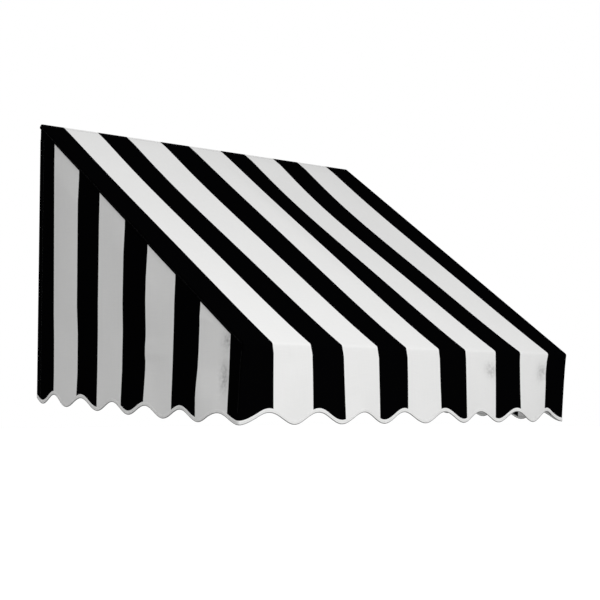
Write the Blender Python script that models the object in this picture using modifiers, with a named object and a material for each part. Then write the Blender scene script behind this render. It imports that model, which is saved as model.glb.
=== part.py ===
"""Window awning: a striped canvas cover on a fixed frame of steel tube.

The wall is the plane Y = 0 and the awning reaches out toward -Y. X runs along the wall and Z
is up. The origin is the middle of the centre bracket's back face. Lengths are in metres.
"""

import math
from collections import namedtuple

import bmesh
import bpy
from mathutils import Vector

# Cover
WIDTH = 1.320
PROJECTION = 1.042
CANVAS = 0.0008
WHITE_STRIPE = 0.134
BLACK_STRIPE = 0.115
WING_REAR_STRIPE = 0.1005
VALANCE_DROP = 0.208
SCALLOPS = 8
SCALLOP_DEPTH = 0.032
SCALLOP_STEPS = 6
WING_RISE = 0.060
EDGE_BEND = 0.005
LAP = 0.0145
HEM_TURN = 130.0
FLAP = 0.018
SAG_LEFT = 0.0118
SAG_RIGHT = 0.0185
SAG_PEAK = 0.6
FLAT_AT_HEAD = 0.045
VALANCE_RIPPLE = 0.003
RIPPLE_LENGTH = 0.37
SCALLOP_SHIFT = 0.030
SHIFT_FADE = 0.150
WING_BULGE = 0.004
BULGE_MEAN = 0.6
BULGE_SWING = 0.4
TAPE = 0.0006
TAPE_HEIGHT = 0.011

# Frame
TUBE_DIAMETER = 0.019
TUBE_WALL = 0.0015
TUBE_SIDES = 12
FRAME_DROP = 0.718
SHOULDER = 0.036
SPIGOT = 0.026
DOME = 0.0090

# Wall brackets
PLATE = 0.003
PLATE_HEIGHT = 0.064
HEAD_SETBACK = 0.0135
CRADLE_TURN = 180.0
CENTRE_BRACKET_WIDTH = 0.170
CENTRE_HOOK_WIDTH = 0.020
SIDE_BRACKET_WIDTH = 0.040
SIDE_BRACKET_INSET = 0.210
WALL_HOLE = 0.005
UPPER_HOLE_HEIGHT = 0.010
LOWER_HOLE_HEIGHT = -0.022
FOOT_HEIGHT = 0.120
FOOT_LENGTH = 0.030
FOOT_WALL_LEG = 0.036
FOOT_TUBE_LEG = 0.028

# Fasteners and ties
RIVET_SHANK = 0.0032
RIVET_HEAD = 0.0065
RIVET_HEAD_HEIGHT = 0.0012
RIVET_DEPTH = 0.0050
SCREW_SHANK = 0.0042
SCREW_HEAD = 0.0090
SCREW_HEAD_HEIGHT = 0.0022
SCREW_DEPTH = 0.0060
TIE_WIDTH = 0.025
TIE_THICKNESS = 0.0012
TIE_TAB = 0.020
TIE_REACH = 0.026
TIE_PLACE = 0.50

# Clearances
GAP = 0.0003
NOTCH_GAP = 0.010
HOLE_GAP = 0.0005

# Steps of the curves
MERGE_DISTANCE = 0.00001
POCKET_LEAVE = -120.0
POCKET_STEPS = 11
BACK_STEPS = 3
SLOPE_STEPS = 6
FOLD_STEPS = 4
HEM_STEPS = 6
HOOK_INNER_STEPS = 14
HOOK_OUTER_STEPS = 10
BOW_STEPS = 6
HOLE_SIDES = 6
RIVET_SIDES = 6
SCREW_SIDES = 8
DOME_TURNS = (60, 30)
BEND_TURNS = (30, 60, 90)
ROOT_DEPTHS = (0.30, 0.22)
VALANCE_FALLS = (0.35, 0.70, 1.0)
WING_FALLS = (0.0, 0.0, 0.25, 0.5, 0.75, 1.0, 1.0)

# Worked out from the sizes above
RADIUS = TUBE_DIAMETER / 2
BORE = RADIUS - TUBE_WALL
SPIGOT_RADIUS = BORE - GAP
COVER_RADIUS = RADIUS + GAP + CANVAS / 2
HALF = WIDTH / 2
LAP_X = HALF - CANVAS / 2
WING_X = LAP_X - CANVAS - GAP
SIDE_X = WING_X - COVER_RADIUS
FLAT_HALF = LAP_X - EDGE_BEND
HEAD = Vector((0.0, -HEAD_SETBACK, PLATE_HEIGHT / 2))
FRONT = Vector((0.0, -PROJECTION + CANVAS / 2 + COVER_RADIUS, HEAD.z - FRAME_DROP))
SLOPE_LENGTH = (FRONT - HEAD).length
DOWN_SLOPE = (FRONT - HEAD).normalized()
SLOPE_NORMAL = Vector((0.0, DOWN_SLOPE.z, -DOWN_SLOPE.y))
SLOPE_DEGREES = math.degrees(math.atan2(SLOPE_NORMAL.z, SLOPE_NORMAL.y))
EDGE_LOW = FRONT.z - VALANCE_DROP
PITCH = WIDTH / SCALLOPS
WING_EDGE_GAP = EDGE_BEND + CANVAS + GAP
FLAT_AT_FRONT = TIE_REACH + TIE_TAB + NOTCH_GAP
FLAT_ANGLE = math.radians(0.2)
SHARP_ANGLE = math.radians(35)
SIDE_MARGIN = 3 * LAP
ARM_MARGIN = 3 * TUBE_DIAMETER

ALONG_X = Vector((1.0, 0.0, 0.0))
ALONG_Y = Vector((0.0, 1.0, 0.0))
ALONG_Z = Vector((0.0, 0.0, 1.0))
SIDES = (("left", -1), ("right", 1))

# Base colour, roughness and metallic value of each finish
FINISHES = {
    "black_canvas": ((0.006, 0.006, 0.007), 0.85, 0.0),
    "white_canvas": ((0.82, 0.82, 0.81), 0.85, 0.0),
    "white_tape": ((0.84, 0.84, 0.83), 0.75, 0.0),
    "galvanised": ((0.52, 0.54, 0.56), 0.42, 1.0),
    "cast_zinc": ((0.44, 0.45, 0.47), 0.50, 1.0),
    "zinc_plate": ((0.60, 0.61, 0.63), 0.35, 1.0),
    "black_webbing": ((0.012, 0.012, 0.013), 0.90, 0.0),
}

Row = namedtuple("Row", "point normal zone run")
Column = namedtuple("Column", "x depth")
Station = namedtuple("Station", "low high outward outer inner")


def clear_scene():
    """Remove whatever the file holds before the awning is modelled."""
    for old in list(bpy.data.objects):
        bpy.data.objects.remove(old, do_unlink=True)


def make_collection(name):
    """Link a new collection to the scene."""
    collection = bpy.data.collections.new(name)
    bpy.context.scene.collection.children.link(collection)
    return collection


def make_material(name, finish):
    """Make a Principled material from the table of finishes."""
    colour, roughness, metallic = FINISHES[finish]
    material = bpy.data.materials.new(name)
    material.use_nodes = True
    shader = material.node_tree.nodes["Principled BSDF"]
    shader.inputs["Base Color"].default_value = (*colour, 1.0)
    shader.inputs["Roughness"].default_value = roughness
    shader.inputs["Metallic"].default_value = metallic
    return material


def add_part(name, mesh, *finishes):
    """Put a mesh in the awning's collection with a material for each finish."""
    part = bpy.data.objects.new(name, mesh)
    PARTS.objects.link(part)
    for finish in finishes:
        mesh.materials.append(make_material(name + "_" + finish, finish))
    return part


def add_helper(name, mesh):
    """Put a mesh among the cutters, which are never rendered."""
    helper = bpy.data.objects.new(name, mesh)
    CUTTERS.objects.link(helper)
    helper.hide_render = True
    helper.display_type = "WIRE"
    return helper


def aim(thing, place, direction):
    """Stand an object at a place with its local Z along a direction."""
    thing.location = place
    thing.rotation_mode = "QUATERNION"
    thing.rotation_quaternion = direction.to_track_quat("Z", "Y")


def combine(thing, other, operation):
    """Give an object a Boolean with another one."""
    boolean = thing.modifiers.new(other.name, "BOOLEAN")
    boolean.operation = operation
    boolean.solver = "EXACT"
    boolean.object = other


def thicken(thing, thickness, offset):
    """Turn an open surface into a wall."""
    wall = thing.modifiers.new("wall", "SOLIDIFY")
    wall.thickness = thickness
    wall.offset = offset
    wall.use_even_offset = True


def finish_mesh(bm, name):
    """Write a bmesh to a mesh that is shaded smooth between its sharp edges."""
    mesh = bpy.data.meshes.new(name)
    bm.to_mesh(mesh)
    bm.free()
    mesh.shade_smooth()
    mesh.set_sharp_from_angle(angle=SHARP_ANGLE)
    return mesh


def turned_mesh(name, profile, sides):
    """Turn a profile of (radius, height) points, bottom to top, round the Z axis."""
    bm = bmesh.new()
    points = [bm.verts.new((radius, 0.0, height)) for radius, height in profile]
    edges = [bm.edges.new(pair) for pair in zip(points, points[1:])]
    bmesh.ops.spin(
        bm, geom=points + edges, cent=(0, 0, 0), axis=(0, 0, 1), angle=math.tau, steps=sides
    )
    bmesh.ops.remove_doubles(bm, verts=bm.verts, dist=MERGE_DISTANCE)
    bmesh.ops.recalc_face_normals(bm, faces=bm.faces)
    return finish_mesh(bm, name)


def prism_mesh(name, outline, length):
    """Extrude a flat outline in the local XY plane to both sides of it."""
    bm = bmesh.new()
    corners = [bm.verts.new((x, y, -length / 2)) for x, y in outline]
    base = bm.faces.new(corners)
    raised = bmesh.ops.extrude_face_region(bm, geom=[base])
    top = [part for part in raised["geom"] if isinstance(part, bmesh.types.BMVert)]
    bmesh.ops.translate(bm, verts=top, vec=(0, 0, length))
    bmesh.ops.recalc_face_normals(bm, faces=bm.faces)
    return finish_mesh(bm, name)


def arc_points(centre, radius, start, end, steps):
    """Points of an arc in a plane, from one angle in degrees to another."""
    angles = [math.radians(start + (end - start) * step / steps) for step in range(steps + 1)]
    return [(centre[0] + radius * math.cos(a), centre[1] + radius * math.sin(a)) for a in angles]


def around(axis_point, radius, degrees):
    """A point at an angle round a bar that runs along X."""
    angle = math.radians(degrees)
    return axis_point + Vector((0.0, radius * math.cos(angle), radius * math.sin(angle)))


def box_helper(name, centre, size):
    """A box among the cutters."""
    bm = bmesh.new()
    bmesh.ops.create_cube(bm, size=1.0)
    bmesh.ops.scale(bm, vec=size, verts=bm.verts)
    box = add_helper(name, finish_mesh(bm, name))
    box.location = centre
    return box


def drill(name, thing, place, direction, diameter, start, end):
    """Cut a hole along a line, between two distances from its starting place."""
    bm = bmesh.new()
    bmesh.ops.create_cone(
        bm,
        cap_ends=True,
        segments=HOLE_SIDES,
        radius1=diameter / 2,
        radius2=diameter / 2,
        depth=end - start,
    )
    cutter = add_helper(name, finish_mesh(bm, name))
    aim(cutter, place + direction * (start + end) / 2, direction)
    combine(thing, cutter, "DIFFERENCE")
    return cutter


def add_tube(name, start, end):
    """A frame tube between the shoulders of the two fittings that hold its ends."""
    run = (end - start).normalized()
    first = start + run * (SHOULDER + GAP)
    last = end - run * (SHOULDER + GAP)
    bm = bmesh.new()
    bmesh.ops.create_cone(
        bm,
        cap_ends=False,
        segments=TUBE_SIDES,
        radius1=RADIUS,
        radius2=RADIUS,
        depth=(last - first).length,
    )
    tube = add_part(name, finish_mesh(bm, name), "galvanised")
    aim(tube, (first + last) / 2, run)
    thicken(tube, TUBE_WALL, -1.0)
    return tube


def arm_mesh(name, root):
    """One arm of a fitting: its root, a shoulder flush with the tubes, and a spigot."""
    tip = SHOULDER + SPIGOT
    profile = root + [(RADIUS, 0.0), (RADIUS, SHOULDER), (SPIGOT_RADIUS, SHOULDER)]
    profile += [(SPIGOT_RADIUS, tip), (0.0, tip)]
    return turned_mesh(name, profile, TUBE_SIDES)


def domed_root():
    """The rounded outer end of a fitting, behind its first arm."""
    turns = [math.radians(degrees) for degrees in DOME_TURNS]
    return [(0.0, -DOME)] + [(DOME * math.cos(turn), -DOME * math.sin(turn)) for turn in turns]


def buried_root(number):
    """The root of a further arm, inside the first one, at a depth of its own."""
    depth = RADIUS * ROOT_DEPTHS[number]
    return [(0.0, -depth), (RADIUS - depth, -depth)]


def through_mesh(name):
    """Two arms in one line, for a fitting that a bar runs through."""
    tip = SHOULDER + SPIGOT
    upper = [(RADIUS, SHOULDER), (SPIGOT_RADIUS, SHOULDER), (SPIGOT_RADIUS, tip), (0.0, tip)]
    lower = [(radius, -height) for radius, height in reversed(upper)]
    return turned_mesh(name, lower + upper, TUBE_SIDES)


def add_corner(name, node, directions):
    """A cast fitting with an arm in each direction and a dome over its corner."""
    fitting = add_part(name, arm_mesh(name, domed_root()), "cast_zinc")
    aim(fitting, node, directions[0])
    for number, direction in enumerate(directions[1:]):
        mesh = arm_mesh(name + "_arm", buried_root(number))
        arm = add_helper("%s_arm_%d" % (name, number), mesh)
        aim(arm, node, direction)
        combine(fitting, arm, "UNION")
    return fitting


def add_tee(name, node, branch):
    """A cast fitting that joins two halves of a bar and carries a rafter."""
    fitting = add_part(name, through_mesh(name), "cast_zinc")
    aim(fitting, node, ALONG_X)
    arm = add_helper(name + "_arm", arm_mesh(name + "_arm", buried_root(0)))
    aim(arm, node, branch)
    combine(fitting, arm, "UNION")
    return fitting


def add_rivet(name, fitting, tube, node, direction, side):
    """A blind rivet through a tube's wall into the spigot inside it."""
    place = node + direction * (SHOULDER + SPIGOT / 2)
    seat = RADIUS + GAP
    bottom = seat - RIVET_DEPTH
    hole = RIVET_SHANK + 2 * HOLE_GAP
    cutter = drill(name + "_hole", tube, place, side, hole, bottom - 2 * GAP, seat + RADIUS)
    combine(fitting, cutter, "DIFFERENCE")
    profile = [
        (0.0, bottom),
        (RIVET_SHANK / 2, bottom),
        (RIVET_SHANK / 2, seat),
        (RIVET_HEAD / 2, seat),
        (RIVET_HEAD / 3, seat + RIVET_HEAD_HEIGHT),
        (0.0, seat + RIVET_HEAD_HEIGHT),
    ]
    rivet = add_part(name, turned_mesh(name, profile, RIVET_SIDES), "zinc_plate")
    aim(rivet, place, side)


def joint_list(corners, tees):
    """Every place where a tube slides over a spigot: fitting, tube, node, direction, side."""
    joints = []
    for side, sign in SIDES:
        inward = ALONG_X * -sign
        head, front, rear = (corners[side + "_" + place] for place in ("head", "front", "rear"))
        head_node, front_node, rear_node = corner_nodes(sign)
        joints += [
            (head, side + "_head_bar", head_node, inward, -ALONG_Z),
            (head, side + "_rafter", head_node, DOWN_SLOPE, inward),
            (head, side + "_upright", head_node, -ALONG_Z, inward),
            (front, side + "_front_bar", front_node, inward, ALONG_Y),
            (front, side + "_rafter", front_node, -DOWN_SLOPE, inward),
            (front, side + "_arm", front_node, ALONG_Y, inward),
            (rear, side + "_arm", rear_node, -ALONG_Y, inward),
            (rear, side + "_upright", rear_node, ALONG_Z, inward),
            (tees["head"], side + "_head_bar", HEAD, -inward, -ALONG_Z),
            (tees["front"], side + "_front_bar", FRONT, -inward, ALONG_Y),
        ]
    joints.append((tees["head"], "centre_rafter", HEAD, DOWN_SLOPE, -SLOPE_NORMAL))
    joints.append((tees["front"], "centre_rafter", FRONT, -DOWN_SLOPE, -SLOPE_NORMAL))
    return joints


def corner_nodes(sign):
    """Where the tube axes of one side meet: at the head, at the front and at the wall below."""
    offset = ALONG_X * sign * SIDE_X
    return HEAD + offset, FRONT + offset, Vector((0.0, HEAD.y, FRONT.z)) + offset


def add_frame():
    """The riveted tube frame: two side triangles, two bars and a centre rafter."""
    tubes = {}
    corners = {}
    for side, sign in SIDES:
        inward = ALONG_X * -sign
        head, front, rear = corner_nodes(sign)
        runs = (
            ("_head_bar", head, HEAD),
            ("_front_bar", front, FRONT),
            ("_rafter", head, front),
            ("_upright", head, rear),
            ("_arm", rear, front),
        )
        for ending, start, end in runs:
            tubes[side + ending] = add_tube(side + ending, start, end)
        places = (
            ("_head", head, (inward, DOWN_SLOPE, -ALONG_Z)),
            ("_front", front, (inward, -DOWN_SLOPE, ALONG_Y)),
            ("_rear", rear, (ALONG_Z, -ALONG_Y)),
        )
        for ending, node, directions in places:
            corners[side + ending] = add_corner(side + ending + "_corner", node, directions)
    tubes["centre_rafter"] = add_tube("centre_rafter", HEAD, FRONT)
    tees = {
        "head": add_tee("head_tee", HEAD, DOWN_SLOPE),
        "front": add_tee("front_tee", FRONT, -DOWN_SLOPE),
    }
    for number, (fitting, tube, node, direction, side) in enumerate(joint_list(corners, tees)):
        add_rivet("rivet_%02d" % (number + 1), fitting, tubes[tube], node, direction, side)
    return tubes


def cradle_outline():
    """Side view of a head bracket, as (Y, Z): a wall plate that turns into a hook."""
    centre = (HEAD.y, HEAD.z)
    inner = RADIUS + GAP
    outer = inner + PLATE
    meet = math.degrees(math.acos((-PLATE - HEAD.y) / outer))
    outline = [(0.0, -PLATE_HEIGHT / 2), (0.0, HEAD.z)]
    outline += arc_points(centre, inner, 0.0, -CRADLE_TURN, HOOK_INNER_STEPS)
    outline += arc_points(centre, outer, -CRADLE_TURN, -meet, HOOK_OUTER_STEPS)
    outline.append((-PLATE, -PLATE_HEIGHT / 2))
    return outline


def stand_across(thing, x):
    """Turn a prism drawn in its XY plane so that it is a (Y, Z) section at a place in X."""
    thing.location = (x, 0.0, 0.0)
    thing.rotation_euler = (math.pi / 2, 0.0, math.pi / 2)


def add_head_bracket(name, x, width):
    """A hook bracket that carries the head bar, with two holes for wall screws."""
    bracket = add_part(name, prism_mesh(name, cradle_outline(), width), "zinc_plate")
    stand_across(bracket, x)
    holes = (UPPER_HOLE_HEIGHT, LOWER_HOLE_HEIGHT)
    for number, height in enumerate(holes):
        offset = side_hole_offset(width)
        for turn in sorted({-offset, offset}):
            place = Vector((x + turn, 0.0, height))
            label = "%s_hole_%d_%d" % (name, number, round(1000 * turn))
            drill(label, bracket, place, -ALONG_Y, WALL_HOLE, -PLATE, 2 * PLATE)
    return bracket


def side_hole_offset(width):
    """Wide brackets have a column of screw holes near each end, narrow ones have one column."""
    return width / 2 - CENTRE_HOOK_WIDTH / 2 if width > 2 * SIDE_BRACKET_WIDTH else 0.0


def add_head_brackets():
    """Three head brackets; the centre one is open in the middle for the tee and its rafter."""
    centre = add_head_bracket("centre_bracket", 0.0, CENTRE_BRACKET_WIDTH)
    window = CENTRE_BRACKET_WIDTH - 2 * CENTRE_HOOK_WIDTH
    reach = 4 * TUBE_DIAMETER
    middle = (0.0, -PLATE - reach / 2, HEAD.z)
    combine(centre, box_helper("hook_gap", middle, (window, reach, reach)), "DIFFERENCE")
    for side, sign in SIDES:
        x = sign * (HALF - SIDE_BRACKET_INSET)
        add_head_bracket(side + "_bracket", x, SIDE_BRACKET_WIDTH)


def add_foot(side, sign, upright):
    """An angle bracket that screws the lower end of an upright to the wall."""
    face = SIDE_X - RADIUS - GAP
    outline = [
        (face, 0.0),
        (face, -FOOT_TUBE_LEG),
        (face - PLATE, -FOOT_TUBE_LEG),
        (face - PLATE, -PLATE),
        (face - FOOT_WALL_LEG, -PLATE),
        (face - FOOT_WALL_LEG, 0.0),
    ]
    height = FRONT.z + FOOT_HEIGHT
    mesh = prism_mesh(side + "_foot", [(sign * x, y) for x, y in outline], FOOT_LENGTH)
    foot = add_part(side + "_foot", mesh, "zinc_plate")
    foot.location.z = height
    outward = ALONG_X * sign
    place = Vector((sign * (face - PLATE), HEAD.y, height))
    hole = SCREW_SHANK + 2 * HOLE_GAP
    cutter = drill(side + "_foot_hole", foot, place, outward, hole, -PLATE, PLATE + SCREW_DEPTH)
    combine(upright, cutter, "DIFFERENCE")
    wall_place = Vector((sign * (face - PLATE - FOOT_WALL_LEG / 2), 0.0, height))
    drill(side + "_wall_hole", foot, wall_place, -ALONG_Y, WALL_HOLE, -PLATE, 2 * PLATE)
    profile = [
        (0.0, -GAP - SCREW_HEAD_HEIGHT),
        (SCREW_HEAD / 3, -GAP - SCREW_HEAD_HEIGHT),
        (SCREW_HEAD / 2, -GAP),
        (SCREW_SHANK / 2, -GAP),
        (SCREW_SHANK / 2, SCREW_DEPTH - SCREW_SHANK / 2),
        (0.0, SCREW_DEPTH),
    ]
    screw_mesh = turned_mesh(side + "_screw", profile, SCREW_SIDES)
    screw = add_part(side + "_foot_screw", screw_mesh, "zinc_plate")
    aim(screw, place, outward)


def tie_path(first, last):
    """Middle line of a tie strap round a tube, between the canvas on its two sides.

    The canvas touches the tube from one angle to the other. A tab lies under the canvas on
    each side, and the strap runs round the rest of the tube.
    """
    middle = RADIUS + GAP + TIE_THICKNESS / 2
    under = RADIUS - TIE_THICKNESS / 2
    spread = math.hypot(TIE_REACH, under)
    swing = math.degrees(math.atan2(TIE_REACH, under) + math.acos(middle / spread))
    path = []
    for angle, turn in ((first, -1), (last, 1)):
        normal = Vector((math.cos(math.radians(angle)), math.sin(math.radians(angle))))
        along = Vector((-normal.y, normal.x)) * turn
        tab = [normal * under + along * (TIE_REACH + TIE_TAB), normal * under + along * TIE_REACH]
        path.append([tuple(point) for point in tab])
    bow = arc_points((0.0, 0.0), middle, first - swing, last + swing - 360.0, BOW_STEPS)
    return path[0] + bow + path[1][::-1]


def add_tie(name, path, centre, across):
    """A hook-and-loop strap made of a path in a plane, widened along one direction."""
    bm = bmesh.new()
    bmesh.ops.create_grid(bm, x_segments=len(path) - 1, y_segments=1, size=0.5)
    other = ALONG_Y if across.x else ALONG_X
    for vert in bm.verts:
        first, up = path[round((vert.co.x + 0.5) * (len(path) - 1))]
        vert.co = centre + other * first + ALONG_Z * up + across * vert.co.y * TIE_WIDTH
    strap = add_part(name, finish_mesh(bm, name), "black_webbing")
    thicken(strap, TIE_THICKNESS, 0.0)


def add_ties():
    """Straps that hold the cover to the front bar and to both arms."""
    for side, sign in SIDES:
        bar_place = FRONT + ALONG_X * sign * SIDE_X * TIE_PLACE
        add_tie(side + "_front_tie", tie_path(SLOPE_DEGREES, 180.0), bar_place, ALONG_X)
        rear = corner_nodes(sign)[2]
        front = corner_nodes(sign)[1]
        path = [(sign * x, z) for x, z in tie_path(0.0, 0.0)]
        add_tie(side + "_arm_tie", path, rear.lerp(front, TIE_PLACE), ALONG_Y)


def front_stripes():
    """Stripe edges across the top, counted from the white stripe in the middle."""
    edges = [WHITE_STRIPE / 2]
    widths = (BLACK_STRIPE, WHITE_STRIPE)
    while edges[-1] + widths[(len(edges) - 1) % 2] < FLAT_HALF:
        edges.append(edges[-1] + widths[(len(edges) - 1) % 2])
    return [-edge for edge in reversed(edges)] + edges


def wing_stripes():
    """Stripe edges of a wing as distances from the wall."""
    edges = [WING_REAR_STRIPE]
    widths = (WHITE_STRIPE, BLACK_STRIPE)
    while edges[-1] + widths[(len(edges) - 1) % 2] < PROJECTION - LAP:
        edges.append(edges[-1] + widths[(len(edges) - 1) % 2])
    return edges


def is_white(edges, place):
    """Stripes alternate, and the first one before any edge is black."""
    return sum(edge < place for edge in edges) % 2 == 1


def merge_places(fixed, even, spacing):
    """Keep all fixed places, and those even ones that lie clear of them."""
    kept = [place for place in even if min(abs(place - other) for other in fixed) > spacing]
    return sorted(fixed + kept)


def edge_height(run):
    """Height of the valance's scalloped edge at a distance from the front corner."""
    return EDGE_LOW + SCALLOP_DEPTH * (1 - math.cos(math.tau * run / PITCH)) / 2


def wing_edge_height(run):
    """Height of a wing's scalloped edge, whose scallops lie a little nearer the wall."""
    rear = PROJECTION + HEAD.y
    shift = SCALLOP_SHIFT * min(1.0, run / SHIFT_FADE, (rear - run) / SHIFT_FADE)
    return edge_height(run - shift) + WING_RISE / PROJECTION * run


def notches():
    """Stretches of the head bar that the pocket leaves bare, as (start, end) in X."""
    centre = CENTRE_BRACKET_WIDTH / 2 + NOTCH_GAP
    side = HALF - SIDE_BRACKET_INSET
    half = SIDE_BRACKET_WIDTH / 2 + NOTCH_GAP
    corner = SIDE_X - SHOULDER - SPIGOT - NOTCH_GAP
    return [(-HALF, -corner), (-side - half, -side + half), (-centre, centre),
            (side - half, side + half), (corner, HALF)]


def panel_columns():
    """Columns of the top panel from left lap to right lap."""
    inside = [edge for notch in notches() for edge in notch if abs(edge) < FLAT_HALF]
    fixed = [-FLAT_HALF, 0.0, FLAT_HALF] + front_stripes() + inside
    step = PITCH / SCALLOP_STEPS
    even = [-HALF + step * number for number in range(1, SCALLOPS * SCALLOP_STEPS)]
    flat = [Column(x, 0.0) for x in merge_places(fixed, even, step / 3)]
    bend = []
    for degrees in BEND_TURNS:
        angle = math.radians(degrees)
        bend.append(Column(FLAT_HALF + EDGE_BEND * math.sin(angle), EDGE_BEND * (1 - math.cos(angle))))
    bend.append(Column(LAP_X, LAP))
    left = [Column(-column.x, column.depth) for column in reversed(bend)]
    return left + flat + bend


def panel_rows():
    """Rows of the top panel, from the flap inside the head pocket to the scalloped edge."""
    rows = []
    exit_point = around(HEAD, COVER_RADIUS, POCKET_LEAVE)
    exit_turn = math.radians(POCKET_LEAVE)
    exit_way = Vector((0.0, math.sin(exit_turn), -math.cos(exit_turn)))
    under = COVER_RADIUS - CANVAS - GAP
    climb = (under - (exit_point - HEAD).dot(SLOPE_NORMAL)) / exit_way.dot(SLOPE_NORMAL)
    turn = exit_point + exit_way * climb
    rows.append(Row(turn + DOWN_SLOPE * FLAP, SLOPE_NORMAL, "pocket", 0.0))
    rows.append(Row(turn, SLOPE_NORMAL, "pocket", 0.0))
    for step in range(POCKET_STEPS):
        degrees = POCKET_LEAVE + (SLOPE_DEGREES - POCKET_LEAVE) * step / POCKET_STEPS
        zone = "pocket" if step < POCKET_STEPS - BACK_STEPS else "back"
        point = around(HEAD, COVER_RADIUS, degrees)
        rows.append(Row(point, (point - HEAD).normalized(), zone, 0.0))
    start = HEAD + SLOPE_NORMAL * COVER_RADIUS
    runs = [0.0, FLAT_AT_HEAD]
    sag_length = SLOPE_LENGTH - FLAT_AT_HEAD - FLAT_AT_FRONT
    shares = [step / SLOPE_STEPS for step in range(1, SLOPE_STEPS + 1)]
    runs += [FLAT_AT_HEAD + sag_length * share for share in shares]
    rows += [Row(start + DOWN_SLOPE * run, SLOPE_NORMAL, "slope", run) for run in runs]
    for step in range(FOLD_STEPS + 1):
        degrees = SLOPE_DEGREES + (180.0 - SLOPE_DEGREES) * step / FOLD_STEPS
        point = around(FRONT, COVER_RADIUS, degrees)
        rows.append(Row(point, (point - FRONT).normalized(), "fold", 0.0))
    face = FRONT - ALONG_Y * COVER_RADIUS
    rows += [Row(face, -ALONG_Y, "valance", run) for run in VALANCE_FALLS]
    rows.append(Row(face, -ALONG_Y, "edge", 1.0))
    return rows


def sag(x, run):
    """How far the canvas hangs below the plane of the rafters, most of all nearer the head."""
    along = (run - FLAT_AT_HEAD) / (SLOPE_LENGTH - FLAT_AT_HEAD - FLAT_AT_FRONT)
    bay = (abs(x) - RADIUS) / (SIDE_X - 2 * RADIUS)
    if not (0.0 < along < 1.0 and 0.0 < bay < 1.0):
        return 0.0
    depth = SAG_LEFT if x < 0 else SAG_RIGHT
    return depth * 4 * bay * (1 - bay) * math.sin(math.pi * along ** SAG_PEAK) ** 2


def ripple(x, fall):
    """Gentle wave of the valance, none at the front bar and none at its corners."""
    fade = min(1.0, max(0.0, (FLAT_HALF - abs(x)) / PITCH))
    return VALANCE_RIPPLE * fade * fall * fall * math.sin(math.tau * x / RIPPLE_LENGTH)


def valance_point(column, level, fall):
    """A point of the valance or of its lap, at a height above the scalloped edge."""
    on_lap = column.depth > 0
    run = column.depth if on_lap else HALF - abs(column.x)
    bottom = wing_edge_height(run) if on_lap else edge_height(run)
    height = FRONT.z + (bottom + TAPE_HEIGHT - FRONT.z) * fall
    y = FRONT.y - COVER_RADIUS + column.depth - ripple(column.x, fall)
    return Vector((column.x, y, height - level))


def fold_mitre():
    """Where the lap of the slope meets the lap of the valance."""
    half_turn = math.radians(180.0 - SLOPE_DEGREES) / 2
    corner = around(FRONT, COVER_RADIUS / math.cos(half_turn), (180.0 + SLOPE_DEGREES) / 2)
    return corner + (FRONT - corner).normalized() * LAP / math.cos(half_turn)


def panel_point(row, column):
    """A point of the middle surface of the top panel."""
    if row.zone == "valance":
        return valance_point(column, 0.0, row.run)
    if row.zone == "edge":
        return valance_point(column, TAPE_HEIGHT, 1.0)
    if row.zone == "fold" and column.depth > EDGE_BEND:
        return fold_mitre() + ALONG_X * column.x
    drop = column.depth + (sag(column.x, row.run) if row.zone == "slope" else 0.0)
    return row.point - row.normal * drop + ALONG_X * column.x


def add_sheet(name, column_count, row_count, place, keep, white, straight):
    """A canvas sheet shaped from a grid, with its black and white stripes as faces."""
    bm = bmesh.new()
    bmesh.ops.create_grid(bm, x_segments=column_count - 1, y_segments=row_count - 1, size=0.5)
    spare = []
    for face in bm.faces:
        middle = face.calc_center_median()
        i = math.floor((middle.x + 0.5) * (column_count - 1))
        j = math.floor((middle.y + 0.5) * (row_count - 1))
        face.material_index = 1 if white(i) else 0
        face.tag = straight(j)
        if not keep(i, j):
            spare.append(face)
    for vert in bm.verts:
        i = round((vert.co.x + 0.5) * (column_count - 1))
        j = round((vert.co.y + 0.5) * (row_count - 1))
        vert.co = place(i, j)
    bmesh.ops.delete(bm, geom=spare, context="FACES")
    bmesh.ops.remove_doubles(bm, verts=bm.verts, dist=MERGE_DISTANCE)
    edges = [edge for edge in bm.edges if all(face.tag for face in edge.link_faces)]
    verts = [vert for vert in bm.verts if all(face.tag for face in vert.link_faces)]
    bmesh.ops.dissolve_limit(
        bm, angle_limit=FLAT_ANGLE, verts=verts, edges=edges, delimit={"MATERIAL"}
    )
    sheet = add_part(name, finish_mesh(bm, name), "black_canvas", "white_canvas")
    thicken(sheet, CANVAS, 0.0)
    return sheet


def add_top_panel():
    """Slope and valance in one cloth, with a head pocket and laps over the wings."""
    columns = panel_columns()
    rows = panel_rows()
    bare = notches()
    edges = front_stripes()

    def middle(i):
        return (columns[i].x + columns[i + 1].x) / 2

    def keep(i, j):
        if rows[j].zone == "pocket":
            return not any(start < middle(i) < end for start, end in bare)
        lap = max(columns[i].depth, columns[i + 1].depth) > EDGE_BEND
        return not (lap and rows[j].zone == "back")

    add_sheet(
        "top_panel",
        len(columns),
        len(rows),
        lambda i, j: panel_point(rows[j], columns[i]),
        keep,
        lambda i: is_white(edges, middle(i)),
        lambda j: rows[j].zone in ("pocket", "back", "fold"),
    )


def wing_places():
    """Columns of a wing's flat part as distances from the front, front to rear."""
    rear = PROJECTION + HEAD.y
    stripes = [PROJECTION - edge for edge in wing_stripes()]
    fixed = [WING_EDGE_GAP, LAP, rear] + stripes
    step = PITCH / SCALLOP_STEPS
    even = [step * number for number in range(1, int(rear / step) + 1)]
    return merge_places(fixed, even, step / 3)


def rake_height(y):
    """Top edge of a wing, just under the bend of the top panel."""
    level = (COVER_RADIUS - WING_EDGE_GAP) / -DOWN_SLOPE.y
    return HEAD.z + level + (HEAD.y - y) * DOWN_SLOPE.z / -DOWN_SLOPE.y


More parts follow.
